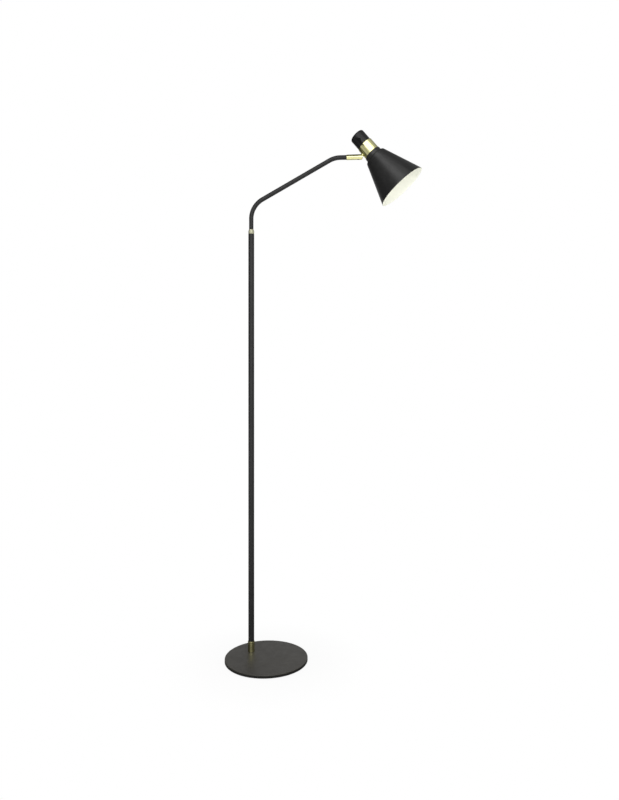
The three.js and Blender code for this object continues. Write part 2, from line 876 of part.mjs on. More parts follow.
// Insulating body that carries the contacts.
function lampholderInsert() {
  const boss = holderCapRadius - holder.capWall - holder.capSpace;
  const rivet = holder.rivetDiameter / 2 + fitGap;
  const bossTop = skirtTop + holder.insertBlock;
  return revolve(
    [[rivet, insertFace], [insertRadius, insertFace], [insertRadius, skirtTop], [boss, skirtTop],
      [boss, bossTop], [rivet, bossTop]],
    coarse,
  );
}

// Double-walled threaded skirt: bulb thread inside, shade ring outside, joined at the mouth.
function lampholderSkirt() {
  const innerWall = skirtBore + holder.skirtWall;
  const outerWall = skirtRadius - holder.skirtWall;
  const grooveEnd = skirtLow + holder.mouthThickness;
  const { skirtChamfer } = holder;
  return revolve(
    [[skirtBore, skirtLow], [skirtRadius - skirtChamfer, skirtLow], [skirtRadius, skirtLow + skirtChamfer],
      [skirtRadius, skirtTop], [outerWall, skirtTop], [outerWall, grooveEnd], [innerWall, grooveEnd],
      [innerWall, skirtTop], [skirtBore, skirtTop]],
    coarse,
  );
}

function threadShell() {
  const high = insertFace - seatGap;
  return ring(shellBore, shellRadius, high - holder.shellLength, high, coarse);
}

// Sprung leaf riveted through the insert.
function centreContact() {
  const face = insertFace - seatGap;
  const rivetTop = skirtTop + holder.insertBlock + holder.rivetHead;
  const rivet = rod(holder.rivetDiameter / 2, face - holder.leafThickness / 2, rivetTop, coarse);
  const bow = new THREE.QuadraticBezierCurve(
    new THREE.Vector2(-holder.leafLength / 2, -holder.leafThickness),
    new THREE.Vector2(0, -holder.leafThickness - 2 * holder.leafRise),
    new THREE.Vector2(holder.leafLength / 2, -holder.leafThickness),
  );
  const lower = bow.getPoints(coarse / 4);
  const outline = new THREE.Shape();
  outline.moveTo(-holder.leafLength / 2, 0);
  lower.forEach((p) => outline.lineTo(p.x, p.y));
  outline.lineTo(holder.leafLength / 2, 0);
  outline.closePath();
  const leaf = prism(outline, -holder.leafWidth / 2, holder.leafWidth / 2).rotateX(Math.PI / 2);
  return join(leaf.translate(0, 0, face), rivet);
}

// Ribbed ring that screws on the skirt and clamps the shade against the cup.
function shadeRingSolid() {
  const inner = skirtRadius + holeGap;
  const outer = inner + shadeRing.thickness;
  const high = neckTop - shade.wall - seatGap;
  const low = high - shadeRing.height;
  const { chamfer, ribRadius } = shadeRing;
  const body = revolve(
    [[inner, low], [outer - chamfer, low], [outer, low + chamfer], [outer, high], [inner, high]],
    medium,
  );
  const notches = Array.from({ length: shadeRing.ribs }, (_, i) => {
    const angle = (2 * Math.PI * i) / shadeRing.ribs;
    const notch = rod(ribRadius, low - overcut, high - shadeRing.ribStop, ribSides);
    return notch.translate(outer + ribRadius - shadeRing.ribDepth, 0, 0).rotateZ(angle);
  });
  return cut(body, ...notches);
}

const contactTip = insertFace - seatGap - holder.leafThickness - holder.leafRise - bulb.contactGap;
const capHigh = contactTip - bulb.insulatorHeight;
const bulbCapLow = capHigh - bulb.capLength;
const crownRadius = bulbCapRadius - bulb.capChamfer - bulb.capLip;

// Glass insulator with the contact button at its tip.
function bulbInsulator() {
  const button = bulb.contactDiameter / 2;
  const { contactRound } = bulb;
  return revolve(
    [[0, contactTip], [button - contactRound, contactTip], [button, contactTip - contactRound],
      [crownRadius, capHigh + seatGap], [0, capHigh + seatGap]],
    coarse,
  );
}

// Screw shell of the bulb, open below where the neck's stub fills it.
function bulbCapSolid() {
  const { capWall, capChamfer } = bulb;
  const inner = bulbCapRadius - capWall;
  const shoulder = capHigh - capChamfer;
  return revolve(
    [[0, capHigh], [crownRadius, capHigh], [bulbCapRadius, shoulder], [bulbCapRadius, bulbCapLow],
      [inner, bulbCapLow], [inner, shoulder], [crownRadius - capWall, capHigh - capWall],
      [0, capHigh - capWall]],
    coarse,
  );
}

const bulbNeckHigh = bulbCapLow - seatGap;
const bulbNeckLow = bulbNeckHigh - bulb.neckLength;
const globeRadius = bulb.globeDiameter / 2;
const globeStart = globeRadius * Math.cos(radians(bulb.globeOpening));
const globeRise = globeRadius * Math.sin(radians(bulb.globeOpening));

// White neck of the bulb; its stub fills the screw cap.
function bulbBody() {
  const collar = bulbCapRadius + bulb.collarStep;
  const stub = bulbCapRadius - bulb.capWall - seatGap;
  const stubTop = capHigh - bulb.capChamfer - bulb.capLip;
  const flare = new THREE.QuadraticBezierCurve(
    new THREE.Vector2(collar, bulbNeckHigh - bulb.collarHeight),
    new THREE.Vector2(collar, (bulbNeckHigh + bulbNeckLow) / 2),
    new THREE.Vector2(globeStart, bulbNeckLow),
  );
  return revolve(
    [[0, stubTop], [stub, stubTop], [stub, bulbNeckHigh], [collar, bulbNeckHigh],
      ...flare.getPoints(4).map((p) => [p.x, p.y]), [0, bulbNeckLow]],
    coarse,
  );
}

// Opal globe, a thin shell that starts where the neck ends.
function bulbGlobe() {
  const centre = bulbNeckLow - seatGap - globeRise;
  const outside = arc(0, centre, globeRadius, bulb.globeOpening, -90, 7);
  const inside = arc(0, centre, globeRadius - bulb.globeWall, -90, bulb.globeOpening, 5);
  outside[outside.length - 1][0] = 0;
  inside[0][0] = 0;
  return revolve([...outside, ...inside], coarse);
}

// Tongue of the knuckle: an eye in the fork, a flange saddled to the band and a stud through it.
// Drawn with the pivot at the origin and the head's axis at +X.
function hingeTongue() {
  const halfWidth = knuckle.tongueWidth / 2;
  const flangeStart = sleeveRadius + knuckle.flangeGap;
  const rootEnd = flangeStart + knuckle.flangeGap;
  const outline = new THREE.Shape();
  const shoulder = Math.asin(halfWidth / eyeRadius);
  outline.absarc(0, 0, eyeRadius, shoulder, 2 * Math.PI - shoulder, false);
  outline.lineTo(rootEnd, -halfWidth);
  outline.lineTo(rootEnd, halfWidth);
  outline.closePath();
  const halfThickness = knuckle.tongueThickness / 2;
  const tongue = prism(outline, -halfThickness, halfThickness, coarse / 2).rotateX(Math.PI / 2);
  const flange = alongX(rod(knuckle.flangeDiameter / 2, flangeStart, reach - cupRadius, coarse));
  const bandSpace = rod(bandRadius + seatGap, -knuckle.flangeDiameter, knuckle.flangeDiameter, medium);
  const saddle = cut(flange, bandSpace.translate(reach, 0, 0));
  const stud = alongX(rod(studRadius, rootEnd, reach - studEnd, coarse));
  const pivotBore = alongY(rod(knuckle.screwDiameter / 2 + fitGap, -overcut, overcut, coarse));
  return cut(join(tongue, saddle, stud), pivotBore);
}

// ---------------------------------------------------------------------------------------------
// Assembly
// ---------------------------------------------------------------------------------------------

const lamp = new THREE.Group();
lamp.add(piece("base_pad", basePad(), blackFelt));
lamp.add(piece("base_plate", basePlate(), blackPowder));

const upright = new THREE.Group();
upright.position.set(poleX, poleY, 0);
upright.add(piece("foot_screw", footScrewSolid(), zincSteel));
upright.add(piece("foot_plug", footPlugSolid(), zincSteel));
upright.add(piece("foot_collar", footCollarSolid(), polishedBrass));
upright.add(piece("pole_tube", poleTube(), blackPowder));
upright.add(piece("cable_gland", cableGland(), blackNylon));
upright.add(piece("pole_ferrule", ferruleSolid(), polishedBrass));
upright.add(piece("lower_bush", lowerBushSolid(), paleNylon));
lamp.add(upright);

const swivel = new THREE.Group();
swivel.add(piece("arm_tube", armTube(), blackPowder));
swivel.add(piece("swivel_stop_pin", stopPinSolid(), zincSteel));
swivel.add(piece("swivel_friction_ring", frictionRingSolid(), blackRubber));
swivel.add(piece("arm_sleeve", sleeveSolid(), polishedBrass));
swivel.add(piece("pivot_screw", pivotScrew(), polishedBrass));
swivel.add(piece("pivot_washer_front", frictionWasher(-1), paleNylon));
swivel.add(piece("pivot_washer_rear", frictionWasher(1), paleNylon));
upright.add(swivel);

const tilt = new THREE.Group();
tilt.position.set(pivotX, 0, endHeight);
tilt.rotation.y = -radians(tiltAtRest);
tilt.add(piece("hinge_tongue", hingeTongue(), polishedBrass));
swivel.add(tilt);

const spindle = new THREE.Group();
spindle.position.set(reach, 0, pivotDepth);
spindle.add(piece("tongue_nut", tongueNutSolid(), zincSteel));
spindle.add(piece("brass_band", brassBand(), polishedBrass));
spindle.add(piece("holder_cup", holderCup(), blackPowder));
spindle.add(piece("holder_bracket", holderBracket(), zincSteel));
spindle.add(piece("holder_nipple", holderNipple(), zincSteel));
spindle.add(piece("nipple_nut", nippleNutSolid(), zincSteel));
spindle.add(piece("lampholder_cap", lampholderCap(), bakelite));
spindle.add(piece("lampholder_insert", lampholderInsert(), bakelite));
spindle.add(piece("lampholder_skirt", lampholderSkirt(), bakelite));
spindle.add(piece("thread_shell", threadShell(), nickel));
spindle.add(piece("centre_contact", centreContact(), nickel));
spindle.add(piece("shade", shadeSolid(), blackPowder));
spindle.add(piece("shade_ring", shadeRingSolid(), blackNylon));
spindle.add(piece("bulb_insulator", bulbInsulator(), bakelite));
spindle.add(piece("bulb_cap", bulbCapSolid(), nickel));
spindle.add(piece("bulb_body", bulbBody(), whitePlastic));
spindle.add(piece("bulb_globe", bulbGlobe(), opalGlobe));
tilt.add(spindle);

export default lamp;
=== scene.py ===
"""Looks of an adjustable-arm floor lamp, built round its packed construction model.

All lengths are metres in the frame's own axes: +Z up, the foot's underside at Z 0, the arm along +X.
Sizes of turned parts are written in millimetres where a drawing would give them and scaled on use.
"""

import json
import logging
import math
from dataclasses import dataclass, field
from enum import Enum
from typing import Callable, ClassVar, Sequence

import bmesh
import bpy
from mathutils import Matrix, Vector

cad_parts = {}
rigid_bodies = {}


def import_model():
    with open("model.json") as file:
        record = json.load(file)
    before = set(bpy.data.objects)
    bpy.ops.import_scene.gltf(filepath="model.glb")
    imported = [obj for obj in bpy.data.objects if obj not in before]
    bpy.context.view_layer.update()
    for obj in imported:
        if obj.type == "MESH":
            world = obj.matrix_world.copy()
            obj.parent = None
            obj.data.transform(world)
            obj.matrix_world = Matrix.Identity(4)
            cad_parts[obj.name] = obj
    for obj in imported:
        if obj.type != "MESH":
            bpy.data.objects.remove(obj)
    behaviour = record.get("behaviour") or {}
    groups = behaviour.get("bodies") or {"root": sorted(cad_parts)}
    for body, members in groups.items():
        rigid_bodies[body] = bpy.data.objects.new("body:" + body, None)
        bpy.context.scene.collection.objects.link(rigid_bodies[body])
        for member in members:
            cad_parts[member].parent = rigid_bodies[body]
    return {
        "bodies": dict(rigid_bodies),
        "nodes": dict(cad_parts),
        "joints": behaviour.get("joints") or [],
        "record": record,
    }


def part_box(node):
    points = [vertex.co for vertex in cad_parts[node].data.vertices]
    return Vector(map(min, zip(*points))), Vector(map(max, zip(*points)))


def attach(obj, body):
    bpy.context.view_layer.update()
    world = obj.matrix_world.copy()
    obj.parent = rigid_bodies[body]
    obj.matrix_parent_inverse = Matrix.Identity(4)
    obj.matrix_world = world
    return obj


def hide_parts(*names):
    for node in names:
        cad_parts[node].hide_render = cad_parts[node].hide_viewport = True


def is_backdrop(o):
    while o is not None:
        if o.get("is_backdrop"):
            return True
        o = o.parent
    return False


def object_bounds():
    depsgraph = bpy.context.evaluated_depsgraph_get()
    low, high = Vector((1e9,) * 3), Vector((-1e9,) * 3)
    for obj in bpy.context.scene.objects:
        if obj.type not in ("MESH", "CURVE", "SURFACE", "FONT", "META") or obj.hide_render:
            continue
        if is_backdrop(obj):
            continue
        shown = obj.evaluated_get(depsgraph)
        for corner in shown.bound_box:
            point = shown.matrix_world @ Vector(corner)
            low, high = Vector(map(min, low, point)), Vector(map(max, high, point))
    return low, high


log = logging.getLogger("floor_lamp")

MM = 0.001
LONG = 10.0  # metres, for marks that run on along an axis
ON_AXIS = 1e-9  # millimetres: a point of a profile within this radius is on its axis
PAST = 2.0  # millimetres that a cutting tool runs on past what it cuts
NOISE_LOW = 0.3  # nearly all of a noise lies between these two
NOISE_HIGH = 0.7
WHITE = (1.0, 1.0, 1.0, 1.0)
Point = tuple[float, float]
Relief = Callable[[float, float, float], float]


# ---------------------------------------------------------------------------------------------------
# Names shared with the frame
# ---------------------------------------------------------------------------------------------------


class Body(Enum):
    """The moving bodies of the lamp."""

    STAND = "stand"
    ARM = "arm"
    HEAD = "head"


class Slot(Enum):
    """The record's material slots."""

    BLACK_BASE = "black_base"
    BLACK_TUBE = "black_tube"
    BLACK_SHADE = "black_shade"
    BRASS = "brass"
    STEEL = "steel"
    NICKEL = "nickel"
    FELT = "felt"
    RUBBER = "rubber"
    BLACK_NYLON = "black_nylon"
    PALE_NYLON = "pale_nylon"
    BAKELITE = "bakelite"
    BLACK_GLASS = "black_glass"
    WHITE_PLASTIC = "white_plastic"
    OPAL = "opal"


class Grain(Enum):
    """How a surface's finest marks run."""

    PEBBLED = "pebbled"
    TURNED = "turned"


# ---------------------------------------------------------------------------------------------------
# Finishes
# ---------------------------------------------------------------------------------------------------


class Sheet:
    """A material's node tree, with short calls for the nodes that the finishes share."""

    def __init__(self, name: str) -> None:
        """Starts a material with one Principled shader.

        Args:
            name: the material's name.
        """
        self.material = bpy.data.materials.new(name)
        self.material.use_nodes = True
        self.tree = self.material.node_tree
        self.shader = self.tree.nodes["Principled BSDF"]
        self.place = self.tree.nodes.new("ShaderNodeTexCoord").outputs["Object"]

    def set(self, **values: float | Sequence[float]) -> None:
        """Sets constants on the shader's own sockets.

        Args:
            values: socket names, with underscores for spaces, and their values.
        """
        for key, value in values.items():
            self.shader.inputs[key.replace("_", " ")].default_value = value

    def link(self, output: bpy.types.NodeSocket, target: bpy.types.NodeSocket) -> None:
        """Joins an output socket to an input socket."""
        self.tree.links.new(output, target)

    def noise(self, size: float | Sequence[float], detail: float,
              axes: Sequence[float] = (0, 0, 0)) -> bpy.types.NodeSocket:
        """Adds a noise over the surface.

        Args:
            size: size of its features in metres, or its size along each axis for marks that run one way.
            detail: octaves of detail.
            axes: the turn that brings the lamp's axes to those of the marks, in radians.

        Returns:
            The noise's value socket.
        """
        along = (size,) * 3 if isinstance(size, float) else size
        mapping = self.tree.nodes.new("ShaderNodeMapping")
        mapping.vector_type = "TEXTURE"
        mapping.inputs["Rotation"].default_value = axes
        mapping.inputs["Scale"].default_value = along
        self.link(self.place, mapping.inputs["Vector"])
        node = self.tree.nodes.new("ShaderNodeTexNoise")
        node.inputs["Scale"].default_value = 1.0
        node.inputs["Detail"].default_value = detail
        self.link(mapping.outputs["Vector"], node.inputs["Vector"])
        return node.outputs["Fac"]

    def spread(self, value: bpy.types.NodeSocket, low: float, high: float, socket: str) -> None:
        """Drives a shader socket with a noise, between two values.

        Args:
            value: the noise.
            low: value at the noise's low end.
            high: value at its high end.
            socket: the shader socket that it drives.
        """
        node = self.tree.nodes.new("ShaderNodeMapRange")
        node.inputs["From Min"].default_value = NOISE_LOW
        node.inputs["From Max"].default_value = NOISE_HIGH
        node.inputs["To Min"].default_value = low
        node.inputs["To Max"].default_value = high
        self.link(value, node.inputs["Value"])
        self.link(node.outputs["Result"], self.shader.inputs[socket])

    def tint(self, value: bpy.types.NodeSocket, dark: Sequence[float], light: Sequence[float]) -> None:
        """Colours the surface between two colours.

        Args:
            value: the noise that chooses between them.
            dark: linear colour at its low end.
            light: linear colour at its high end.
        """
        ramp = self.tree.nodes.new("ShaderNodeValToRGB")
        first, last = ramp.color_ramp.elements
        first.position = NOISE_LOW
        first.color = (*dark, 1.0)
        last.position = NOISE_HIGH
        last.color = (*light, 1.0)
        self.link(value, ramp.inputs["Fac"])
        self.link(ramp.outputs["Color"], self.shader.inputs["Base Color"])

    def emboss(self, value: bpy.types.NodeSocket, height: float, strength: float) -> None:
        """Raises the surface by a noise.

        Args:
            value: the noise.
            height: depth of the marks, in metres.
            strength: how much of that depth shows.
        """
        node = self.tree.nodes.new("ShaderNodeBump")
        node.inputs["Distance"].default_value = height
        node.inputs["Strength"].default_value = strength
        self.link(value, node.inputs["Height"])
        self.link(node.outputs["Normal"], self.shader.inputs["Normal"])


def shades(colour: Sequence[float], spread: float) -> tuple[list[float], list[float]]:
    """Two colours a little darker and lighter than one.

    Args:
        colour: the linear colour between them.
        spread: share by which each differs from it.

    Returns:
        The darker and the lighter colour.
    """
    dark = [c * (1 - spread) for c in colour]
    light = [min(1.0, c * (1 + spread)) for c in colour]
    return dark, light


@dataclass(frozen=True)
class Coating:
    """Paint, lacquer, enamel or moulded plastic: a smooth solid colour with fine marks of its own."""

    name: str
    colour: tuple[float, float, float]
    roughness: float
    spread: float = 0.12
    specular: float = 0.5
    coat: float = 0.0
    coat_roughness: float = 0.1
    grain: Grain = Grain.PEBBLED
    grain_size: float = 0.6 * MM
    grain_depth: float = 0.02 * MM
    grain_strength: float = 0.35
    axes: tuple[float, float, float] = (0.0, 0.0, 0.0)

    mottle_size: ClassVar[float] = 45 * MM
    wear_size: ClassVar[float] = 16 * MM
    wear: ClassVar[tuple[float, float]] = (0.88, 1.12)

    def material(self) -> bpy.types.Material:
        """Builds the finish's material.

        Returns:
            The material.
        """
        sheet = Sheet(self.name)
        sheet.tint(sheet.noise(self.mottle_size, detail=4.0), *shades(self.colour, self.spread))
        smoothest, roughest = (self.roughness * share for share in self.wear)
        sheet.spread(sheet.noise(self.wear_size, detail=5.0), smoothest, roughest, "Roughness")
        if self.grain is Grain.TURNED:
            marks = sheet.noise((LONG, LONG, self.grain_size), detail=3.0, axes=self.axes)
        else:
            marks = sheet.noise(self.grain_size, detail=2.0)
        sheet.emboss(marks, self.grain_depth, self.grain_strength)
        sheet.set(Specular_IOR_Level=self.specular, Coat_Weight=self.coat, Coat_Roughness=self.coat_roughness)
        return sheet.material


@dataclass(frozen=True)
class Metal:
    """Bare metal, turned or plated, with the fine lines that the tool leaves round its axis."""

    name: str
    colour: tuple[float, float, float]
    roughness: float
    line_size: float = 0.4 * MM
    line_depth: float = 0.004 * MM
    line_strength: float = 0.25
    axes: tuple[float, float, float] = (0.0, 0.0, 0.0)

    tarnish_size: ClassVar[float] = 22 * MM
    wear_size: ClassVar[float] = 9 * MM
    wear: ClassVar[tuple[float, float]] = (0.75, 1.3)

    def material(self) -> bpy.types.Material:
        """Builds the finish's material.

        Returns:
            The material.
        """
        sheet = Sheet(self.name)
        sheet.tint(sheet.noise(self.tarnish_size, detail=4.0), *shades(self.colour, spread=0.05))
        smoothest, roughest = (self.roughness * share for share in self.wear)
        sheet.spread(sheet.noise(self.wear_size, detail=6.0), smoothest, roughest, "Roughness")
        lines = sheet.noise((LONG, LONG, self.line_size), detail=4.0, axes=self.axes)
        sheet.emboss(lines, self.line_depth, self.line_strength)
        sheet.set(Metallic=1.0)
        return sheet.material


@dataclass(frozen=True)
class Felt:
    """Needled felt: matt, fibrous, with a soft sheen."""

    name: str
    colour: tuple[float, float, float]

    def material(self) -> bpy.types.Material:
        """Builds the finish's material.

        Returns:
            The material.
        """
        sheet = Sheet(self.name)
        sheet.tint(sheet.noise(1.1 * MM, detail=6.0), *shades(self.colour, spread=0.5))
        fibres = sheet.noise((0.5 * MM, 0.5 * MM, 1.5 * MM), detail=6.0)
        sheet.emboss(fibres, height=0.3 * MM, strength=0.8)
        sheet.set(Roughness=0.95, Sheen_Weight=0.3, Sheen_Roughness=0.6)
        return sheet.material


@dataclass(frozen=True)
class OpalGlass:
    """Satin opal diffuser that lets light soak into its wall."""

    name: str
    colour: tuple[float, float, float]

    def material(self) -> bpy.types.Material:
        """Builds the finish's material.

        Returns:
            The material.
        """
        sheet = Sheet(self.name)
        sheet.tint(sheet.noise(30 * MM, detail=3.0), *shades(self.colour, spread=0.02))
        sheet.spread(sheet.noise(3 * MM, detail=4.0), low=0.3, high=0.4, socket="Roughness")
        sheet.emboss(sheet.noise(0.7 * MM, detail=2.0), height=0.01 * MM, strength=0.2)
        sheet.set(Subsurface_Weight=0.5, Subsurface_Scale=3 * MM)
        return sheet.material


Finish = Coating | Metal | Felt | OpalGlass

HEAD_TILT = math.radians(40.4)
HEAD_AXES = (0.0, -HEAD_TILT, 0.0)
ARM_AXES = (0.0, math.pi / 2, 0.0)
BRASS_COLOUR = (0.62, 0.60, 0.31)

FINISHES: dict[Slot, Finish] = {
    Slot.BLACK_BASE: Coating("satin_powder_plate", (0.036, 0.033, 0.027), 0.44, spread=0.08, specular=0.45,
                             grain_strength=0.25),
    Slot.BLACK_TUBE: Coating("satin_powder_tube", (0.010, 0.010, 0.010), 0.48, specular=0.28,
                             grain_strength=0.08),
    Slot.BLACK_SHADE: Coating("satin_lacquer_spun", (0.009, 0.009, 0.0088), 0.38, specular=0.4,
                              grain=Grain.TURNED, grain_size=1.4 * MM, grain_depth=0.012 * MM,
                              grain_strength=0.3, axes=HEAD_AXES),
    Slot.BRASS: Metal("polished_brass", BRASS_COLOUR, 0.16),
    Slot.STEEL: Metal("zinc_plate", (0.56, 0.57, 0.58), 0.34),
    Slot.NICKEL: Metal("bright_nickel", (0.66, 0.64, 0.58), 0.22, axes=HEAD_AXES),
    Slot.FELT: Felt("black_felt", (0.018, 0.018, 0.019)),
    Slot.RUBBER: Coating("black_rubber", (0.015, 0.015, 0.015), 0.8, specular=0.3),
    Slot.BLACK_NYLON: Coating("moulded_black_nylon", (0.018, 0.018, 0.018), 0.55),
    Slot.PALE_NYLON: Coating("natural_nylon", (0.70, 0.68, 0.58), 0.45, spread=0.04),
    Slot.BAKELITE: Coating("moulded_bakelite", (0.014, 0.0135, 0.013), 0.28, coat=0.2,
                           grain_depth=0.008 * MM),
    Slot.BLACK_GLASS: Coating("vitreous_insulator", (0.01, 0.01, 0.012), 0.12, grain_depth=0.004 * MM),
    Slot.WHITE_PLASTIC: Coating("moulded_white", (0.80, 0.80, 0.78), 0.38, spread=0.02,
                                grain_depth=0.008 * MM),
    Slot.OPAL: OpalGlass("opal_diffuser", (0.86, 0.85, 0.80)),
}

# Darker, less shiny copy of the plate's powder coat for its rim and underside: painted shade on the rim.
PLATE_EDGE_PAINTED_SHADE = Coating("satin_powder_plate_edge", (0.011, 0.0105, 0.0095), 0.4, spread=0.08, specular=0.3,
                     grain_strength=0.25)
# A little darker copy of the brass colour for the foot's collar: painted shade.
UPRIGHT_BRASS_PAINTED_SHADE = Metal("turned_brass_upright", (0.56, 0.53, 0.27), 0.14)
# Darker, paler copy of the brass colour for the ferrule: painted shade; its high roughness spreads its
# highlight.
FERRULE_BRASS_PAINTED_SHADE = Metal("turned_brass_ferrule", (0.47, 0.465, 0.34), 0.62)
ARM_BRASS = Metal("turned_brass_arm", BRASS_COLOUR, 0.16, axes=ARM_AXES)
HEAD_BRASS = Metal("turned_brass_head", BRASS_COLOUR, 0.13, axes=HEAD_AXES)
# Darker, less shiny copy of the shade's black lacquer for the cup: painted shade.
CUP_LACQUER_PAINTED_SHADE = Coating("satin_lacquer_cup", (0.006, 0.006, 0.0059), 0.3, specular=0.22, grain=Grain.TURNED,
                      grain_size=1.4 * MM, grain_depth=0.012 * MM, grain_strength=0.2, axes=HEAD_AXES)
ENAMEL = Coating("white_enamel", (0.88, 0.885, 0.785), 0.32, spread=0.008, grain_size=1.3 * MM,
                 grain_depth=0.01 * MM, grain_strength=0.2)


class Palette:
    """Makes each finish once and hands it out."""

    def __init__(self) -> None:
        """Starts with nothing made."""
        self._made: dict[str, bpy.types.Material] = {}

    def of(self, finish: Finish) -> bpy.types.Material:
        """The material of a finish.

        Args:
            finish: the finish.

        Returns:
            Its material, made on first use.
        """
        if finish.name not in self._made:
            self._made[finish.name] = finish.material()
        return self._made[finish.name]

    def slot(self, slot: Slot) -> bpy.types.Material:
        """The material of one of the record's slots."""
        return self.of(FINISHES[slot])


# ---------------------------------------------------------------------------------------------------
# Outlines and meshes
# ---------------------------------------------------------------------------------------------------

SIDE_SHARE = 0.49  # how much of a side the rounding at one end of it may take up


def filleted(corners: Sequence[tuple[float, float, float]], steps: int = 5,
             closed: bool = True) -> list[Point]:
    """Rounds the corners of an outline.

    Args:
        corners: (radius, height, fillet) of each corner, in the outline's own unit.
        steps: straight steps in each fillet.
        closed: whether the last corner joins the first.

    Returns:
        The outline's points.
    """
    points: list[Point] = []
    count = len(corners)
    for i, (r, z, fillet) in enumerate(corners):
        here = Vector((r, z))
        ends = not closed and i in (0, count - 1)
        if fillet <= 0 or ends:
            points.append((r, z))
            continue
        before = Vector(corners[i - 1][:2]) - here
        after = Vector(corners[(i + 1) % count][:2]) - here
        half = before.angle(after) / 2
        setback = min(fillet / math.tan(half), SIDE_SHARE * before.length, SIDE_SHARE * after.length)
        start = here + before.normalized() * setback
        end = here + after.normalized() * setback
        for k in range(steps + 1):
            t = k / steps
            p = start * (1 - t) ** 2 + here * 2 * t * (1 - t) + end * t ** 2
            points.append((p.x, p.y))
    return points


def ring_profile(inner: float, outer: float, low: float, high: float, edge: float = 0.3) -> list[Point]:
    """Outline of a plain ring with eased edges.

    Args:
        inner: bore radius.
        outer: outer radius.
        low: lower face.
        high: upper face.
        edge: radius of the eased edges.

    Returns:
        The outline's points.
    """
    return filleted([(inner, low, edge), (outer, low, edge), (outer, high, edge), (inner, high, edge)])


def arc_points(centre: Point, radius: float, start: float, end: float, steps: int) -> list[Point]:
    """Points of an arc.

    Args:
        centre: its centre.
        radius: its radius.
        start: first angle, in degrees.
        end: last angle, in degrees.
        steps: straight steps in it.

    Returns:
        The arc's points.
    """
    points = []
    for i in range(steps + 1):
        angle = math.radians(start + (end - start) * i / steps)
        points.append((centre[0] + radius * math.cos(angle), centre[1] + radius * math.sin(angle)))
    return points


def mesh_from(bm: bmesh.types.BMesh, name: str, sharp: float = 38.0) -> bpy.types.Mesh:
    """Finishes a mesh: faces point out, and edges sharper than an angle stay crisp.

    Args:
        bm: the bmesh, which is freed.
        name: the mesh's name.
        sharp: that angle, in degrees.

    Returns:
        The mesh.
    """
    bmesh.ops.recalc_face_normals(bm, faces=bm.faces)
    mesh = bpy.data.meshes.new(name)
    bm.to_mesh(mesh)
    bm.free()
    mesh.shade_smooth()
    mesh.set_sharp_from_angle(angle=math.radians(sharp))
    return mesh


def braced(profile: Sequence[Point], closed: bool, inset: float = 0.12) -> tuple[list[Point], list[int]]:
    """Adds a point near each end of a profile's long straights, so that they shade flat.

    Args:
        profile: the outline's points.
        closed: whether the last joins the first.
        inset: distance of the added points from the ends.

    Returns:
        The outline with the added points, and the straight that starts or holds each point.
    """
    points: list[Point] = []
    straights: list[int] = []
    ends = [*profile[1:], profile[0]] if closed else profile[1:]
    for i, ((r0, z0), (r1, z1)) in enumerate(zip(profile, ends)):
        length = math.hypot(r1 - r0, z1 - z0)
        long = length > 6 * inset and max(r0, r1) > ON_AXIS
        for share in (0.0, inset / length, 1 - inset / length) if long else (0.0,):
            points.append((r0 + (r1 - r0) * share, z0 + (z1 - z0) * share))
            straights.append(i)
    if not closed:
        points.append(profile[-1])
        straights.append(len(profile) - 1)
    return points, straights


def turned(name: str, profile: Sequence[Point], segments: int, closed: bool = True,
           relief: Relief | None = None, bands: Sequence[int] | None = None) -> bpy.types.Mesh:
    """Turns a profile round +Z.

    Args:
        name: the mesh's name.
        profile: (radius, height) points in millimetres. A point at radius 0 is on the axis.
        segments: segments round the axis.
        closed: whether the profile closes on itself off the axis.
        relief: how far each point of the surface stands out, from its radius, height and angle.
        bands: material index of each straight of the profile.

    Returns:
        The mesh, in metres.
    """
    outline, straights = braced(profile, closed)
    bm = bmesh.new()
    rings: list[list[bmesh.types.BMVert]] = []
    for r, z in outline:
        if r <= ON_AXIS:
            rings.append([bm.verts.new((0, 0, z * MM))])
            continue
        verts = []
        for k in range(segments):
            angle = 2 * math.pi * k / segments
            reach = (r + (relief(r, z, angle) if relief else 0.0)) * MM
            verts.append(bm.verts.new((reach * math.cos(angle), reach * math.sin(angle), z * MM)))
        rings.append(verts)
    for i in range(len(rings) if closed else len(rings) - 1):
        low, high = rings[i], rings[(i + 1) % len(rings)]
        for k in range(segments):
            n = (k + 1) % segments
            corners = [low[k % len(low)], low[n % len(low)], high[n % len(high)], high[k % len(high)]]
            unique = list(dict.fromkeys(corners))
            if len(unique) > 2:
                bm.faces.new(unique).material_index = bands[straights[i]] if bands else 0
    return mesh_from(bm, name)


def offset(line: Sequence[Point], distance: float) -> list[Point]:
    """Moves a line sideways, to the right of the way it runs.

    Args:
        line: its points.
        distance: how far it moves.

    Returns:
        The moved points, one for each.
    """
    moved = []
    for i, here in enumerate(line):
        sides = []
        for a, b in ((i - 1, i), (i, i + 1)):
            if 0 <= a and b < len(line):
                along = Vector(line[b]) - Vector(line[a])
                sides.append(Vector((along.y, -along.x)).normalized())
        mean = sum(sides, Vector((0.0, 0.0))).normalized()
        reach = distance / max(0.3, mean.dot(sides[0]))
        moved.append((here[0] + mean.x * reach, here[1] + mean.y * reach))
    return moved


def curve_points(start: Point, handle: Point, end: Point, steps: int) -> list[Point]:
    """Points of a curve that leaves one point and meets another towards a shared handle.

    Args:
        start: its first point.
        handle: where the two tangents cross.
        end: its last point.
        steps: straight steps in it.

    Returns:
        The curve's points.
    """
    points = []
    for i in range(steps + 1):
        t = i / steps
        a, b, c = (1 - t) ** 2, 2 * t * (1 - t), t ** 2
        points.append((start[0] * a + handle[0] * b + end[0] * c, start[1] * a + handle[1] * b + end[1] * c))
    return points


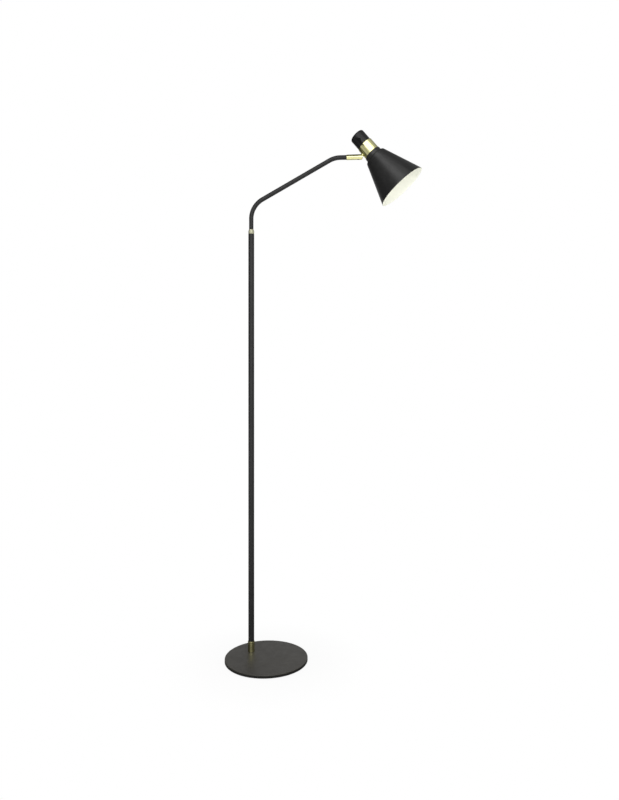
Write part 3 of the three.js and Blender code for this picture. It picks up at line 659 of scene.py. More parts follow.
def swept_tube(name: str, route: Sequence[Vector], outer: float, inner: float,
               segments: int) -> bpy.types.Mesh:
    """Sweeps a tube's wall along a route in the X-Z plane.

    Args:
        name: the mesh's name.
        route: the centreline's points.
        outer: outer radius.
        inner: bore radius.
        segments: segments round the tube.

    Returns:
        The mesh.
    """
    bm = bmesh.new()
    side = Vector((0, 1, 0))
    loops: list[list[bmesh.types.BMVert]] = []

    def loop(index: int, radius: float) -> list[bmesh.types.BMVert]:
        """A ring of vertices round one point of the route."""
        before = route[max(index - 1, 0)]
        after = route[min(index + 1, len(route) - 1)]
        along = (after - before).normalized()
        across = along.cross(side)
        ring = []
        for k in range(segments):
            angle = 2 * math.pi * k / segments
            out = math.cos(angle) * across + math.sin(angle) * side
            ring.append(bm.verts.new(route[index] + radius * out))
        return ring

    ease = 0.4 * MM
    loops.append(loop(0, outer - ease))
    loops.extend(loop(i, outer) for i in range(len(route)))
    loops.append(loop(len(route) - 1, outer - ease))
    loops.extend(loop(i, inner) for i in reversed(range(len(route))))
    for low, high in zip(loops, loops[1:] + loops[:1]):
        for k in range(segments):
            n = (k + 1) % segments
            bm.faces.new((low[k], low[n], high[n], high[k]))
    return mesh_from(bm, name)


def slab(name: str, outline: Sequence[Point], low: float, high: float, bore: float = 0.0,
         edge: float = 0.0) -> bpy.types.Mesh:
    """A flat plate with an outline, standing along +Z.

    Args:
        name: the mesh's name.
        outline: (x, y) corners, in millimetres.
        low: lower face.
        high: upper face.
        bore: radius of a hole through the origin, or 0.
        edge: width of its eased edges, or 0.

    Returns:
        The mesh, in metres.
    """
    bore_sides = 48
    hole = arc_points((0, 0), bore, 0, 360 - 360 / bore_sides, bore_sides - 1) if bore > 0 else ()
    bm = bmesh.new()
    edges: list[bmesh.types.BMEdge] = []
    for points in (outline, hole):
        verts = [bm.verts.new((x * MM, y * MM, low * MM)) for x, y in points]
        edges.extend(bm.edges.new((a, b)) for a, b in zip(verts, verts[1:] + verts[:1]))
    filled = bmesh.ops.triangle_fill(bm, edges=edges, use_beauty=True)["geom"]
    flat = [g for g in filled if isinstance(g, bmesh.types.BMFace)]
    raised = bmesh.ops.extrude_face_region(bm, geom=flat)["geom"]
    bmesh.ops.translate(bm, verts=[g for g in raised if isinstance(g, bmesh.types.BMVert)],
                        vec=(0, 0, (high - low) * MM))
    if edge > 0:
        bmesh.ops.recalc_face_normals(bm, faces=bm.faces)
        crisp = math.radians(60)
        rims = [e for e in bm.edges if len(e.link_faces) == 2 and e.calc_face_angle() > crisp]
        bmesh.ops.bevel(bm, geom=rims, offset=edge * MM, segments=2, affect="EDGES", profile=0.6)
    return mesh_from(bm, name, sharp=32.0)


def bent_route(corners: Sequence[Vector], radius: float, step: float = 2.0) -> list[Vector]:
    """The centreline of a tube bent in the X-Z plane: straights joined by arcs.

    Args:
        corners: where the straights would meet, ends included.
        radius: bend radius.
        step: degrees turned at each step of a bend.

    Returns:
        The centreline's points.
    """
    route = [corners[0]]
    for before, corner, after in zip(corners, corners[1:], corners[2:]):
        incoming = (corner - before).normalized()
        outgoing = (after - corner).normalized()
        turn = incoming.angle(outgoing)
        start = corner - incoming * radius * math.tan(turn / 2)
        inward = (outgoing - incoming * math.cos(turn)).normalized()
        count = max(2, round(math.degrees(turn) / step))
        for i in range(count + 1):
            angle = turn * i / count
            ahead = incoming * radius * math.sin(angle)
            route.append(start + ahead + inward * radius * (1 - math.cos(angle)))
    route.append(corners[-1])
    return route


@dataclass(frozen=True)
class Thread:
    """A right-handed screw thread, cut into a turned surface."""

    crest: float
    low: float
    high: float
    pitch: float
    depth: float
    skin: float = 0.05

    def relief(self, r: float, z: float, angle: float) -> float:
        """Depth of the thread at a point of the surface.

        Args:
            r: radius of the point, in millimetres.
            z: its height.
            angle: its angle, in radians.

        Returns:
            How far it stands out, which is never above 0.
        """
        if r < self.crest - self.skin or not self.low < z < self.high:
            return 0.0
        runout = min(1.0, (z - self.low) / self.pitch, (self.high - z) / self.pitch)
        turn = math.cos(2 * math.pi * (z / self.pitch) - angle)
        return -self.depth * runout * (0.5 - 0.5 * turn)


@dataclass(frozen=True)
class Grip:
    """Round grooves along a turned surface, for fingers."""

    crest: float
    top: float
    count: int = 12
    radius: float = 1.0
    depth: float = 0.6
    skin: float = 0.6

    def relief(self, r: float, z: float, angle: float) -> float:
        """Depth of the grooves at a point of the surface.

        Args:
            r: radius of the point, in millimetres.
            z: its height.
            angle: its angle, in radians.

        Returns:
            How far it stands out, which is never above 0.
        """
        if r < self.crest - self.skin or z > self.top:
            return 0.0
        spacing = 2 * math.pi / self.count
        away = self.crest * ((angle + spacing / 2) % spacing - spacing / 2)
        return -max(0.0, math.sqrt(max(0.0, self.radius ** 2 - away ** 2)) - (self.radius - self.depth))


# ---------------------------------------------------------------------------------------------------
# Pieces in place
# ---------------------------------------------------------------------------------------------------

UP = Matrix.Identity(4)
TO_X = Matrix.Rotation(math.pi / 2, 4, "Y")
TO_Y = Matrix.Rotation(-math.pi / 2, 4, "X")


class Cut(Enum):
    """What a tool does to a piece."""

    AWAY = "DIFFERENCE"
    SHARED = "INTERSECT"
    JOINED = "UNION"


def along(x: float = 0.0, y: float = 0.0, z: float = 0.0) -> Matrix:
    """A move, in millimetres."""
    return Matrix.Translation(Vector((x, y, z)) * MM)


def loose(mesh: bpy.types.Mesh, place: Matrix) -> bpy.types.Object:
    """An object with its place worked into its mesh.

    Args:
        mesh: the mesh, in its own axes.
        place: those axes in the lamp's.

    Returns:
        The object, at the origin.
    """
    mesh.transform(place)
    thing = bpy.data.objects.new(mesh.name, mesh)
    bpy.context.scene.collection.objects.link(thing)
    return thing


def rod(radius: float, low: float, high: float, place: Matrix, segments: int = 48) -> bpy.types.Object:
    """A round bar along the Z of its place, used as a tool.

    Args:
        radius: its radius, in millimetres.
        low: its lower end.
        high: its upper end.
        place: its axes in the lamp's.
        segments: segments round it.

    Returns:
        The bar.
    """
    outline = [(0, low), (radius, low), (radius, high), (0, high)]
    return loose(turned("tool", outline, segments, closed=False), place)


def block(x: Point, y: Point, z: Point, place: Matrix) -> bpy.types.Object:
    """A square block, used as a tool.

    Args:
        x: its two ends along X, in millimetres.
        y: its two ends along Y.
        z: its two ends along Z.
        place: its axes in the lamp's.

    Returns:
        The block.
    """
    outline = [(x[0], y[0]), (x[1], y[0]), (x[1], y[1]), (x[0], y[1])]
    return loose(slab("tool", outline, z[0], z[1]), place)


def work(target: bpy.types.Object, cut: Cut, *tools: bpy.types.Object, sharp: float = 32.0) -> None:
    """Cuts, trims or joins a piece with tools, which are used up.

    Args:
        target: the piece.
        cut: what the tools do to it.
        tools: closed meshes.
        sharp: angle in degrees over which its edges stay crisp.
    """
    for tool in tools:
        step = target.modifiers.new("work", "BOOLEAN")
        step.operation = cut.value
        step.solver = "EXACT"
        step.object = tool
    bpy.context.view_layer.update()
    made = bpy.data.meshes.new_from_object(target.evaluated_get(bpy.context.evaluated_depsgraph_get()))
    target.modifiers.clear()
    worn = target.data
    target.data = made
    bpy.data.meshes.remove(worn)
    made.name = target.name
    for tool in tools:
        bpy.data.objects.remove(tool, do_unlink=True)
    made.shade_smooth()
    made.set_sharp_from_angle(angle=math.radians(sharp))


def ease(thing: bpy.types.Object, width: float, angle: float = 50.0) -> None:
    """Rounds the crisp edges of a piece a little.

    Args:
        thing: the piece.
        width: width of the rounded edge, in millimetres.
        angle: angle in degrees over which an edge is crisp.
    """
    step = thing.modifiers.new("ease", "BEVEL")
    step.width = width * MM
    step.segments = 2
    step.limit_method = "ANGLE"
    step.angle_limit = math.radians(angle)
    step.harden_normals = True


@dataclass
class Piece:
    """A mesh in place, with its finish and what it stands for."""

    thing: bpy.types.Object
    slot: Slot
    materials: list[bpy.types.Material]
    stands_for: str


@dataclass
class Assembly:
    """What the sub-assemblies share: measuring the frame, placing meshes and dressing them."""

    body: ClassVar[Body]
    carried: ClassVar[dict[str, Slot]] = {}

    frame: dict
    palette: Palette
    pieces: list[Piece] = field(default_factory=list, init=False)

    def joint(self, name: str) -> Vector:
        """The point that a joint turns about."""
        return Vector(next(j["pos_m"] for j in self.frame["joints"] if j["name"] == name))

    def span(self, node: str, place: Matrix = UP) -> tuple[Vector, Vector]:
        """The extent of a CAD node along some axes.

        Args:
            node: the node's name.
            place: those axes in the lamp's.

        Returns:
            Its lowest and highest corner along them, in millimetres.
        """
        back = place.inverted()
        points = [back @ v.co / MM for v in self.frame["nodes"][node].data.vertices]
        return Vector(map(min, *points)), Vector(map(max, *points))

    def put(self, mesh: bpy.types.Mesh, place: Matrix, slot: Slot, stands_for: str,
            *finishes: Finish) -> bpy.types.Object:
        """Adds a mesh as a piece.

        Args:
            mesh: the mesh, in its own axes.
            place: those axes in the lamp's.
            slot: the record's slot of its finish.
            stands_for: the CAD node that it replaces.
            finishes: its finishes, where they aren't the slot's own.

        Returns:
            The new object.
        """
        thing = loose(mesh, place)
        materials = [self.palette.of(f) for f in finishes] or [self.palette.slot(slot)]
        self.pieces.append(Piece(thing, slot, materials, stands_for))
        return thing

    def dress(self) -> None:
        """Gives every piece its finish and its body, and the carried-over nodes theirs."""
        for piece in self.pieces:
            mesh = piece.thing.data
            bands = [min(p.material_index, len(piece.materials) - 1) for p in mesh.polygons]
            mesh.materials.clear()
            for material in piece.materials:
                mesh.materials.append(material)
            mesh.polygons.foreach_set("material_index", bands)
            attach(piece.thing, self.body.value)
            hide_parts(piece.stands_for)
            log.info("%s: %s stands for %s, %d faces", self.body.value, piece.thing.name, piece.stands_for,
                     len(mesh.polygons))
        for node, slot in self.carried.items():
            mesh = self.frame["nodes"][node].data
            mesh.materials.clear()
            mesh.materials.append(self.palette.slot(slot))
            log.info("%s: %s is carried over", self.body.value, node)


# ---------------------------------------------------------------------------------------------------
# Sub-assemblies, with their sizes in millimetres
# ---------------------------------------------------------------------------------------------------


@dataclass
class Stand(Assembly):
    """The foot, the upright and the fittings at its two ends."""

    body: ClassVar[Body] = Body.STAND
    carried: ClassVar[dict[str, Slot]] = {
        "foot_screw": Slot.STEEL, "foot_plug": Slot.STEEL, "lower_bush": Slot.PALE_NYLON}

    plate_edge: float = 1.5
    plate_underside_edge: float = 0.6
    plate_edge_steps: int = 8
    screw_hole: float = 4.3
    screw_sink: float = 8.3
    screw_access: float = 12.0
    tube_wall: float = 1.0
    tube_edge: float = 0.25
    fit_gap: float = 0.15
    seat_gap: float = 0.2
    collar_bore: float = 8.15
    collar_edge: float = 0.6
    ferrule_bore: float = 6.15
    ferrule_straight: float = 7.5
    ferrule_top_wall: float = 0.65
    gland_bore: float = 2.7
    gland_body: float = 3.5
    gland_flange: float = 5.0
    gland_edge: float = 0.7
    gland_cut: tuple[float, float] = (3.0, 12.0)

    def __post_init__(self) -> None:
        """Finds the upright's axis and the gland's."""
        self.swivel = self.joint("arm_swivel")
        self.upright = Matrix.Translation((self.swivel.x, self.swivel.y, 0.0))
        low, high = self.span("cable_gland")
        self.gland = self.upright @ along(z=(low.z + high.z) / 2) @ TO_Y

    def build(self) -> None:
        """Makes every piece of the stand."""
        self.build_plate()
        self.build_pad()
        self.build_upright()
        self.build_collar()
        self.build_ferrule()
        self.build_gland()

    def build_plate(self) -> None:
        """The steel plate, its rim rounded, countersunk from below for the upright's screw."""
        low, high = self.span("base_plate")
        corners = [(0, low.z, 0), (high.x, low.z, self.plate_underside_edge),
                   (high.x, high.z, self.plate_edge), (0, high.z, 0)]
        steps = self.plate_edge_steps
        profile = filleted(corners, steps, closed=False)
        # The underside, its rounding and the rim's wall take the darker copy of the coat, painted shade; the
        # upper rounding and the top keep the coat itself.
        painted_shade_underside_and_wall, upper_edge_and_top = steps + 2, steps + 1
        bands = [1] * painted_shade_underside_and_wall + [0] * upper_edge_and_top
        plate = self.put(turned("foot_plate", profile, 192, closed=False, bands=bands), UP,
                         Slot.BLACK_BASE, "base_plate", FINISHES[Slot.BLACK_BASE], PLATE_EDGE_PAINTED_SHADE)
        seat = low.z + self.screw_sink - self.screw_hole
        sink = [(0, low.z - PAST), (self.screw_sink + PAST, low.z - PAST), (self.screw_hole, seat),
                (self.screw_hole, high.z + PAST), (0, high.z + PAST)]
        work(plate, Cut.AWAY, loose(turned("tool", sink, 64, closed=False), self.upright))

    def build_pad(self) -> None:
        """The felt under the plate, open round the screw's head."""
        low, high = self.span("base_pad")
        disc = [(0, low.z), (high.x, low.z), (high.x, high.z), (0, high.z)]
        pad = self.put(turned("felt_pad", disc, 160, closed=False), UP, Slot.FELT, "base_pad")
        work(pad, Cut.AWAY, rod(self.screw_access, low.z - PAST, high.z + PAST, self.upright))

    def build_upright(self) -> None:
        """The tube, holed at the back for the gland."""
        low, high = self.span("pole_tube", self.upright)
        profile = ring_profile(high.x - self.tube_wall, high.x, low.z, high.z, self.tube_edge)
        tube = self.put(turned("upright_tube", profile, 96), self.upright, Slot.BLACK_TUBE, "pole_tube")
        work(tube, Cut.AWAY, rod(self.gland_body + self.fit_gap, *self.gland_cut, self.gland))

    def build_collar(self) -> None:
        """The brass collar that the upright stands in."""
        low, high = self.span("foot_collar", self.upright)
        corners = [(self.collar_bore, low.z, 0.15), (high.x, low.z, 0.3),
                   (high.x, high.z, self.collar_edge), (self.collar_bore, high.z, 0.2)]
        # Its finish is the darker copy of the brass, painted shade.
        self.put(turned("foot_collar_ring", filleted(corners), 96), self.upright, Slot.BRASS, "foot_collar",
                 UPRIGHT_BRASS_PAINTED_SHADE)

    def build_ferrule(self) -> None:
        """The brass ferrule in the upright's top, which the arm turns in."""
        low, high = self.span("pole_ferrule", self.upright)
        seat = self.span("pole_tube")[1].z + self.seat_gap
        spigot = high.x - self.tube_wall - self.fit_gap
        lip = self.ferrule_bore + self.ferrule_top_wall
        corners = [(self.ferrule_bore, low.z, 0.2), (spigot, low.z, 0.3), (spigot, seat, 0),
                   (high.x, seat, 0.2), (high.x, seat + self.ferrule_straight, 1.2), (lip, high.z, 0.5),
                   (self.ferrule_bore, high.z, 0.1)]
        # Its finish is the darker copy of the brass, painted shade.
        self.put(turned("ferrule", filleted(corners), 96), self.upright, Slot.BRASS, "pole_ferrule",
                 FERRULE_BRASS_PAINTED_SHADE)

    def build_gland(self) -> None:
        """The bush for the flex in the back of the upright, its flange saddled to the tube."""
        low, high = self.span("cable_gland", self.gland)
        body = ring_profile(self.gland_bore, self.gland_body, low.z, high.z - 0.4, 0.2)
        gland = self.put(turned("flex_gland", body, 64), self.gland, Slot.BLACK_NYLON, "cable_gland")
        corners = [(self.gland_bore, low.z + 1, 0), (self.gland_flange, low.z + 1, 0),
                   (self.gland_flange, high.z, self.gland_edge), (self.gland_bore, high.z, self.gland_edge)]
        flange = loose(turned("tool", filleted(corners), 64), self.gland)
        tube = self.span("pole_tube", self.upright)[1].x + self.seat_gap
        bottom, top = self.span("cable_gland")
        work(flange, Cut.AWAY, rod(tube, bottom.z - 5, top.z + 5, self.upright, segments=160))
        work(gland, Cut.JOINED, flange)


@dataclass
class Arm(Assembly):
    """The bent tube and the sleeve whose fork holds the tilt's pivot."""

    body: ClassVar[Body] = Body.ARM
    carried: ClassVar[dict[str, Slot]] = {
        "swivel_stop_pin": Slot.STEEL, "swivel_friction_ring": Slot.RUBBER}

    wall: float = 1.0
    radius: float = 6.0
    bend_radius: float = 60.0
    slope_length: float = 260.2
    slope_angle: float = 28.8
    pin_hole: float = 1.3
    sleeve_bore: float = 6.15
    sleeve_overlap: float = 24.0
    sleeve_edge: float = 0.5
    wire_hole: float = 3.0
    slot_half: float = 2.7
    slot_depth: float = 7.3
    screw_radius: float = 2.0
    screw_head: float = 3.5
    screw_groove: float = 1.0
    screw_groove_depth: float = 0.9
    screw_skin: float = 1.4
    hole_gap: float = 0.3
    seat_gap: float = 0.2
    nose_turn: float = 87.0
    nose_ease: float = 0.18
    outside: float = 12.0

    def __post_init__(self) -> None:
        """Finds the swivel's axis and the pivot."""
        self.swivel = self.joint("arm_swivel")
        self.pivot = Matrix.Translation(self.joint("head_tilt"))

    def build(self) -> None:
        """Makes every piece of the arm."""
        self.build_tube()
        self.build_sleeve()
        self.build_screw()
        self.build_washers()

    def build_tube(self) -> None:
        """The tube: up out of the ferrule, along the slope, and level into the sleeve."""
        low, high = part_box("arm_tube")
        slope = math.radians(self.slope_angle)
        x, y = self.swivel.x, self.swivel.y
        top = self.pivot.translation.z
        first = top - self.slope_length * math.sin(slope) * MM
        second = x + self.slope_length * math.cos(slope) * MM
        route = bent_route([Vector((x, y, low.z)), Vector((x, y, first)), Vector((second, y, top)),
                            Vector((high.x, y, top))], self.bend_radius * MM)
        mesh = swept_tube("arm_bent_tube", route, self.radius * MM, (self.radius - self.wall) * MM, 72)
        tube = self.put(mesh, UP, Slot.BLACK_TUBE, "arm_tube")
        pin = self.span("swivel_stop_pin")
        place = Matrix.Translation((x, y, 0)) @ along(z=(pin[0].z + pin[1].z) / 2) @ TO_X
        work(tube, Cut.AWAY, rod(self.pin_hole, 2, 9, place, segments=24))

    def build_sleeve(self) -> None:
        """The sleeve: bored for the tube, rounded about the pivot, slotted and drilled."""
        low, high = self.span("arm_sleeve", self.pivot)
        radius, deep = high.z, high.x + PAST
        shoulder = low.x + self.sleeve_overlap + self.seat_gap
        corners = [(self.sleeve_bore, low.x, 0.15), (radius, low.x, self.sleeve_edge), (radius, deep, 0),
                   (self.wire_hole, deep, 0), (self.wire_hole, shoulder, 0.1),
                   (self.sleeve_bore, shoulder, 0.1)]
        place = self.pivot @ TO_X
        sleeve = self.put(turned("forked_sleeve", filleted(corners), 96), place, Slot.BRASS, "arm_sleeve",
                          ARM_BRASS)
        outline = [(low.x - PAST, -2 * radius), (0.0, -2 * radius), (0.0, -radius)]
        outline += arc_points((0, 0), radius, -self.nose_turn, self.nose_turn, 40)
        outline += [(0.0, radius), (0.0, 2 * radius), (low.x - PAST, 2 * radius)]
        flat = self.pivot @ Matrix.Rotation(math.pi / 2, 4, "X")
        work(sleeve, Cut.SHARED, loose(slab("tool", outline, -2 * radius, 2 * radius), flat))
        across = self.pivot @ TO_Y
        slot = block((-self.slot_depth, deep), (-self.slot_half, self.slot_half),
                     (-self.outside, self.outside), self.pivot)
        spot = rod(self.screw_head + self.hole_gap, self.head_seat(), self.outside, across)
        hole = rod(self.screw_radius + self.hole_gap, self.screw_skin - radius, self.outside, across)
        work(sleeve, Cut.AWAY, slot, spot, hole)
        ease(sleeve, self.nose_ease)

    def head_seat(self) -> float:
        """Height of the screw head's seat above the pivot, across the fork."""
        radius = self.span("arm_sleeve", self.pivot)[1].z
        return math.sqrt(radius ** 2 - (self.screw_head + self.hole_gap) ** 2) - self.seat_gap

    def build_screw(self) -> None:
        """The pivot screw, its domed head slotted."""
        place = self.pivot @ TO_Y
        low, high = self.span("pivot_screw", place)
        under = self.head_seat() + self.seat_gap
        corners = [(0, low.z, 0), (self.screw_radius, low.z, 0.4), (self.screw_radius, under, 0),
                   (self.screw_head, under, 0.2), (self.screw_head, high.z - 0.35, 0.7), (0, high.z, 0)]
        profile = filleted(corners, 8, closed=False)
        screw = self.put(turned("tilt_screw", profile, 64, closed=False), place, Slot.BRASS,
                         "pivot_screw", ARM_BRASS)
        half = self.screw_groove / 2
        groove = block((-6, 6), (high.z - self.screw_groove_depth, high.z + 3), (-half, half), self.pivot)
        work(screw, Cut.AWAY, groove)

    def build_washers(self) -> None:
        """The two nylon washers between the fork's cheeks and the tongue."""
        place = self.pivot @ TO_Y
        for node in ("pivot_washer_front", "pivot_washer_rear"):
            low, high = self.span(node, place)
            profile = ring_profile(self.screw_radius + self.hole_gap, high.x, low.z, high.z, 0.12)
            self.put(turned(f"{node}_ring", profile, 64), place, Slot.PALE_NYLON, node)


@dataclass
class Head(Assembly):
    """The tilting head: tongue, cup, band, lampholder, shade and bulb."""

    body: ClassVar[Body] = Body.HEAD
    carried: ClassVar[dict[str, Slot]] = {
        "tongue_nut": Slot.STEEL, "holder_bracket": Slot.STEEL, "holder_nipple": Slot.STEEL,
        "nipple_nut": Slot.STEEL, "lampholder_cap": Slot.BAKELITE, "lampholder_insert": Slot.BAKELITE,
        "thread_shell": Slot.NICKEL, "centre_contact": Slot.NICKEL, "bulb_insulator": Slot.BLACK_GLASS}

    reach: float = 30.95
    pivot_depth: float = 51.7
    cup_wall: float = 1.0
    cup_roof: float = 1.2
    cup_edge: float = 5.0
    cup_lip: float = 0.25
    cup_ease: float = 0.04
    band_wall: float = 1.4
    band_edge: float = 0.45
    neck_step: float = 1.1
    neck_round: float = 0.9
    neck_end: Point = (24.15, -76.5)
    shoulder_corner: Point = (29.5, -78.45)
    shoulder_round: float = 5.0
    rim_edge: float = 0.45
    shade_wall: float = 0.8
    flange_bore: float = 19.55
    tongue_half: float = 1.5
    tongue_width: float = 4.2
    eye_radius: float = 6.3
    eye_bore: float = 2.15
    root_overlap: float = 0.4
    flange_start: float = 7.4
    flange_radius: float = 5.0
    flange_gap: float = 0.15
    stud_radius: float = 2.5
    stud_hole: float = 2.8
    skirt_bore: float = 14.6
    skirt_wall: float = 1.3
    skirt_mouth: float = 2.2
    ring_bore: float = 19.55
    ring_collar: float = 1.2
    cap_crown: float = 9.1
    cap_chamfer: float = 3.0
    cap_thread_room: float = 1.9
    neck_collar: float = 13.4
    globe_wall: float = 1.2
    globe_opening: float = 32.4

    def __post_init__(self) -> None:
        """Finds the pivot and the head's own axis, whose origin is the cup's top."""
        self.pivot = Matrix.Translation(self.joint("head_tilt")) @ Matrix.Rotation(-HEAD_TILT, 4, "Y")
        self.axis = self.pivot @ along(x=self.reach, z=self.pivot_depth)

    def build(self) -> None:
        """Makes every piece of the head."""
        self.build_tongue()
        self.build_cup()
        self.build_band()
        self.build_shade()
        self.build_skirt()
        self.build_ring()
        self.build_bulb_cap()
        self.build_bulb()

    def stud_tool(self) -> bpy.types.Object:
        """The round hole through the walls for the tongue's stud."""
        return rod(self.stud_hole, 0, self.reach, self.pivot @ TO_X)

    def build_tongue(self) -> None:
        """The tongue with its eye, the flange saddled to the band, and the stud."""
        shoulder = math.degrees(math.asin(self.tongue_width / self.eye_radius))
        root = self.flange_start + self.root_overlap
        outline = arc_points((0, 0), self.eye_radius, shoulder, 360 - shoulder, 60)
        outline += [(root, -self.tongue_width), (root, self.tongue_width)]
        flat = slab("hinge_tongue_plate", outline, -self.tongue_half, self.tongue_half, self.eye_bore,
                    edge=0.2)
        upright = self.pivot @ Matrix.Rotation(math.pi / 2, 4, "X")
        tongue = self.put(flat, upright, Slot.BRASS, "hinge_tongue", HEAD_BRASS)
        band = self.span("brass_band", self.axis)[1].x + self.flange_gap
        corners = [(0, self.flange_start, 0), (self.flange_radius, self.flange_start, 0.5),
                   (self.flange_radius, self.reach - band + 3, 0), (0, self.reach - band + 3, 0)]
        profile = filleted(corners, 6, closed=False)
        flange = loose(turned("tool", profile, 64, closed=False), self.pivot @ TO_X)
        work(flange, Cut.AWAY, rod(band, -2 * self.pivot_depth, 0, self.axis, segments=160))
        end = self.span("hinge_tongue", self.pivot)[1].x
        work(tongue, Cut.JOINED, flange, rod(self.stud_radius, root, end, self.pivot @ TO_X))

    def build_cup(self) -> None:
        """The spun cup, its top edge well rounded."""
        low, high = self.span("holder_cup", self.axis)
        radius, bore = high.x - self.cup_ease, high.x - self.cup_wall
        inner = self.cup_edge - self.cup_wall
        profile = [(bore, low.z), (radius - self.cup_lip, low.z), (radius, low.z + self.cup_lip)]
        profile += arc_points((radius - self.cup_edge, -self.cup_edge), self.cup_edge, 0, 90, 16)
        profile += [(0.0, 0.0), (0.0, -self.cup_roof)]
        profile += arc_points((bore - inner, -self.cup_roof - inner), inner, 90, 0, 10)
        # Its finish is the darker copy of the shade's lacquer, painted shade.
        cup = self.put(turned("cup_shell", profile, 144), self.axis, Slot.BLACK_SHADE, "holder_cup",
                       CUP_LACQUER_PAINTED_SHADE)
        work(cup, Cut.AWAY, self.stud_tool())

    def build_band(self) -> None:
        """The polished band round the cup's lower end."""
        low, high = self.span("brass_band", self.axis)
        profile = ring_profile(high.x - self.band_wall, high.x, low.z, high.z, self.band_edge)
        band = self.put(turned("polished_band", profile, 160), self.axis, Slot.BRASS, "brass_band",
                        HEAD_BRASS)
        work(band, Cut.AWAY, self.stud_tool())

    def build_shade(self) -> None:
        """The spun shade: black outside, white enamel inside, its edge rounded."""
        low, high = self.span("shade", self.axis)
        band = self.span("brass_band", self.axis)[1].x
        outer = filleted([(self.flange_bore, high.z, 0), (band + self.neck_step, high.z, self.neck_round),
                          (*self.neck_end, self.neck_round), (*self.shoulder_corner, self.shoulder_round),
                          (high.x, low.z + self.rim_edge, 0)], 8, closed=False)
        end = Vector(outer[-1])
        back = (Vector(outer[-2]) - end).normalized() * self.shade_wall / 2
        outer[-1] = tuple(end + back)
        inner = list(reversed(offset(outer, self.shade_wall)))
        rim = (Vector(outer[-1]) + Vector(inner[0])) / 2
        across = Vector(outer[-1]) - rim
        out = Vector((-across.y, across.x)) * -1
        edge = []
        steps = 8
        for i in range(1, steps):
            angle = math.pi * i / steps
            point = rim + across * math.cos(angle) + out * math.sin(angle)
            edge.append((point.x, point.y))
        profile = outer + edge + inner
        black = len(outer) + steps // 2
        bands = [0] * black + [1] * (len(profile) - black)
        shade = turned("spun_shade", profile, 192, bands=bands)
        self.put(shade, self.axis, Slot.BLACK_SHADE, "shade", FINISHES[Slot.BLACK_SHADE], ENAMEL)

    def build_skirt(self) -> None:
        """The lampholder's double-walled skirt, threaded outside for the ring."""
        low, high = self.span("lampholder_skirt", self.axis)
        radius, bottom, top = high.x, low.z, high.z
        rows = 66
        wall = [(radius, bottom + 0.6 + (top - bottom - 0.6) * i / rows) for i in range(rows + 1)]
        inner, outer = self.skirt_bore + self.skirt_wall, radius - self.skirt_wall
        groove = bottom + self.skirt_mouth
        profile = [(self.skirt_bore, bottom + 0.3), (self.skirt_bore + 0.3, bottom),
                   (radius - 0.6, bottom), *wall, (outer, top), (outer, groove), (inner, groove),
                   (inner, top), (self.skirt_bore, top)]
        thread = Thread(radius, bottom + 1.5, top - 4.0, pitch=3.0, depth=0.55)
        self.put(turned("lampholder_skirt_threaded", profile, 96, relief=thread.relief), self.axis,
                 Slot.BAKELITE, "lampholder_skirt")

    def build_ring(self) -> None:
        """The ribbed ring that clamps the shade."""
        low, high = self.span("shade_ring", self.axis)
        corners = [(self.ring_bore, low.z, 0.2), (high.x, low.z, 0.6), (high.x, high.z, 0.3),
                   (self.ring_bore, high.z, 0.2)]
        grip = Grip(high.x, high.z - self.ring_collar)
        profile = filleted(corners, 4)
        hair = 0.01
        split = [(high.x, grip.top - hair), (high.x, grip.top + hair)]
        middle = (low.z + high.z) / 2
        at = next(i for i, p in enumerate(profile) if p[0] > high.x - hair and p[1] > middle)
        profile = profile[:at] + split + profile[at:]
        self.put(turned("shade_clamp_ring", profile, 288, relief=grip.relief), self.axis, Slot.BAKELITE,
                 "shade_ring")

    def build_bulb_cap(self) -> None:
        """The bulb's rolled screw cap."""
        low, high = self.span("bulb_cap", self.axis)
        radius, shoulder = high.x, high.z - self.cap_chamfer
        rows = 70
        wall = [(radius, low.z + (shoulder - low.z) * i / rows) for i in range(rows + 1)]
        room = radius - self.cap_thread_room
        profile = [(room, low.z), *wall, (self.cap_crown, high.z), (0, high.z), (0, high.z - 0.5),
                   (self.cap_crown - 0.4, high.z - 0.5), (room, shoulder - 0.3)]
        thread = Thread(radius, low.z + 2.5, shoulder + 2.0, pitch=3.63, depth=1.1)
        self.put(turned("bulb_screw_cap", profile, 96, relief=thread.relief), self.axis, Slot.NICKEL,
                 "bulb_cap")

    def build_bulb(self) -> None:
        """The bulb's white neck and its opal globe."""
        low, high = self.span("bulb_body", self.axis)
        collar_top = self.span("bulb_cap", self.axis)[0].z - 0.2
        radius = self.span("bulb_globe", self.axis)[1].x
        globe_start = radius * math.cos(math.radians(self.globe_opening))
        stub = self.span("bulb_cap", self.axis)[1].x - self.cap_thread_room - 0.2
        collar = self.neck_collar
        handle = (collar, (collar_top + low.z) / 2)
        flare = curve_points((globe_start, low.z), handle, (collar, collar_top - 2.0), 24)
        profile = [(0, low.z), *flare, (collar, collar_top - 0.2), (collar - 0.2, collar_top),
                   (stub, collar_top), (stub, high.z), (0, high.z)]
        self.put(turned("bulb_neck", profile, 96, closed=False), self.axis, Slot.WHITE_PLASTIC, "bulb_body")
        bottom = self.span("bulb_globe", self.axis)[0].z
        centre = (0.0, bottom + radius)
        outside = arc_points(centre, radius, self.globe_opening, -90, 48)
        inside = arc_points(centre, radius - self.globe_wall, -90, self.globe_opening, 40)
        self.put(turned("bulb_globe_opal", outside + inside, 96), self.axis, Slot.OPAL, "bulb_globe")


# ---------------------------------------------------------------------------------------------------
# Studio
# ---------------------------------------------------------------------------------------------------


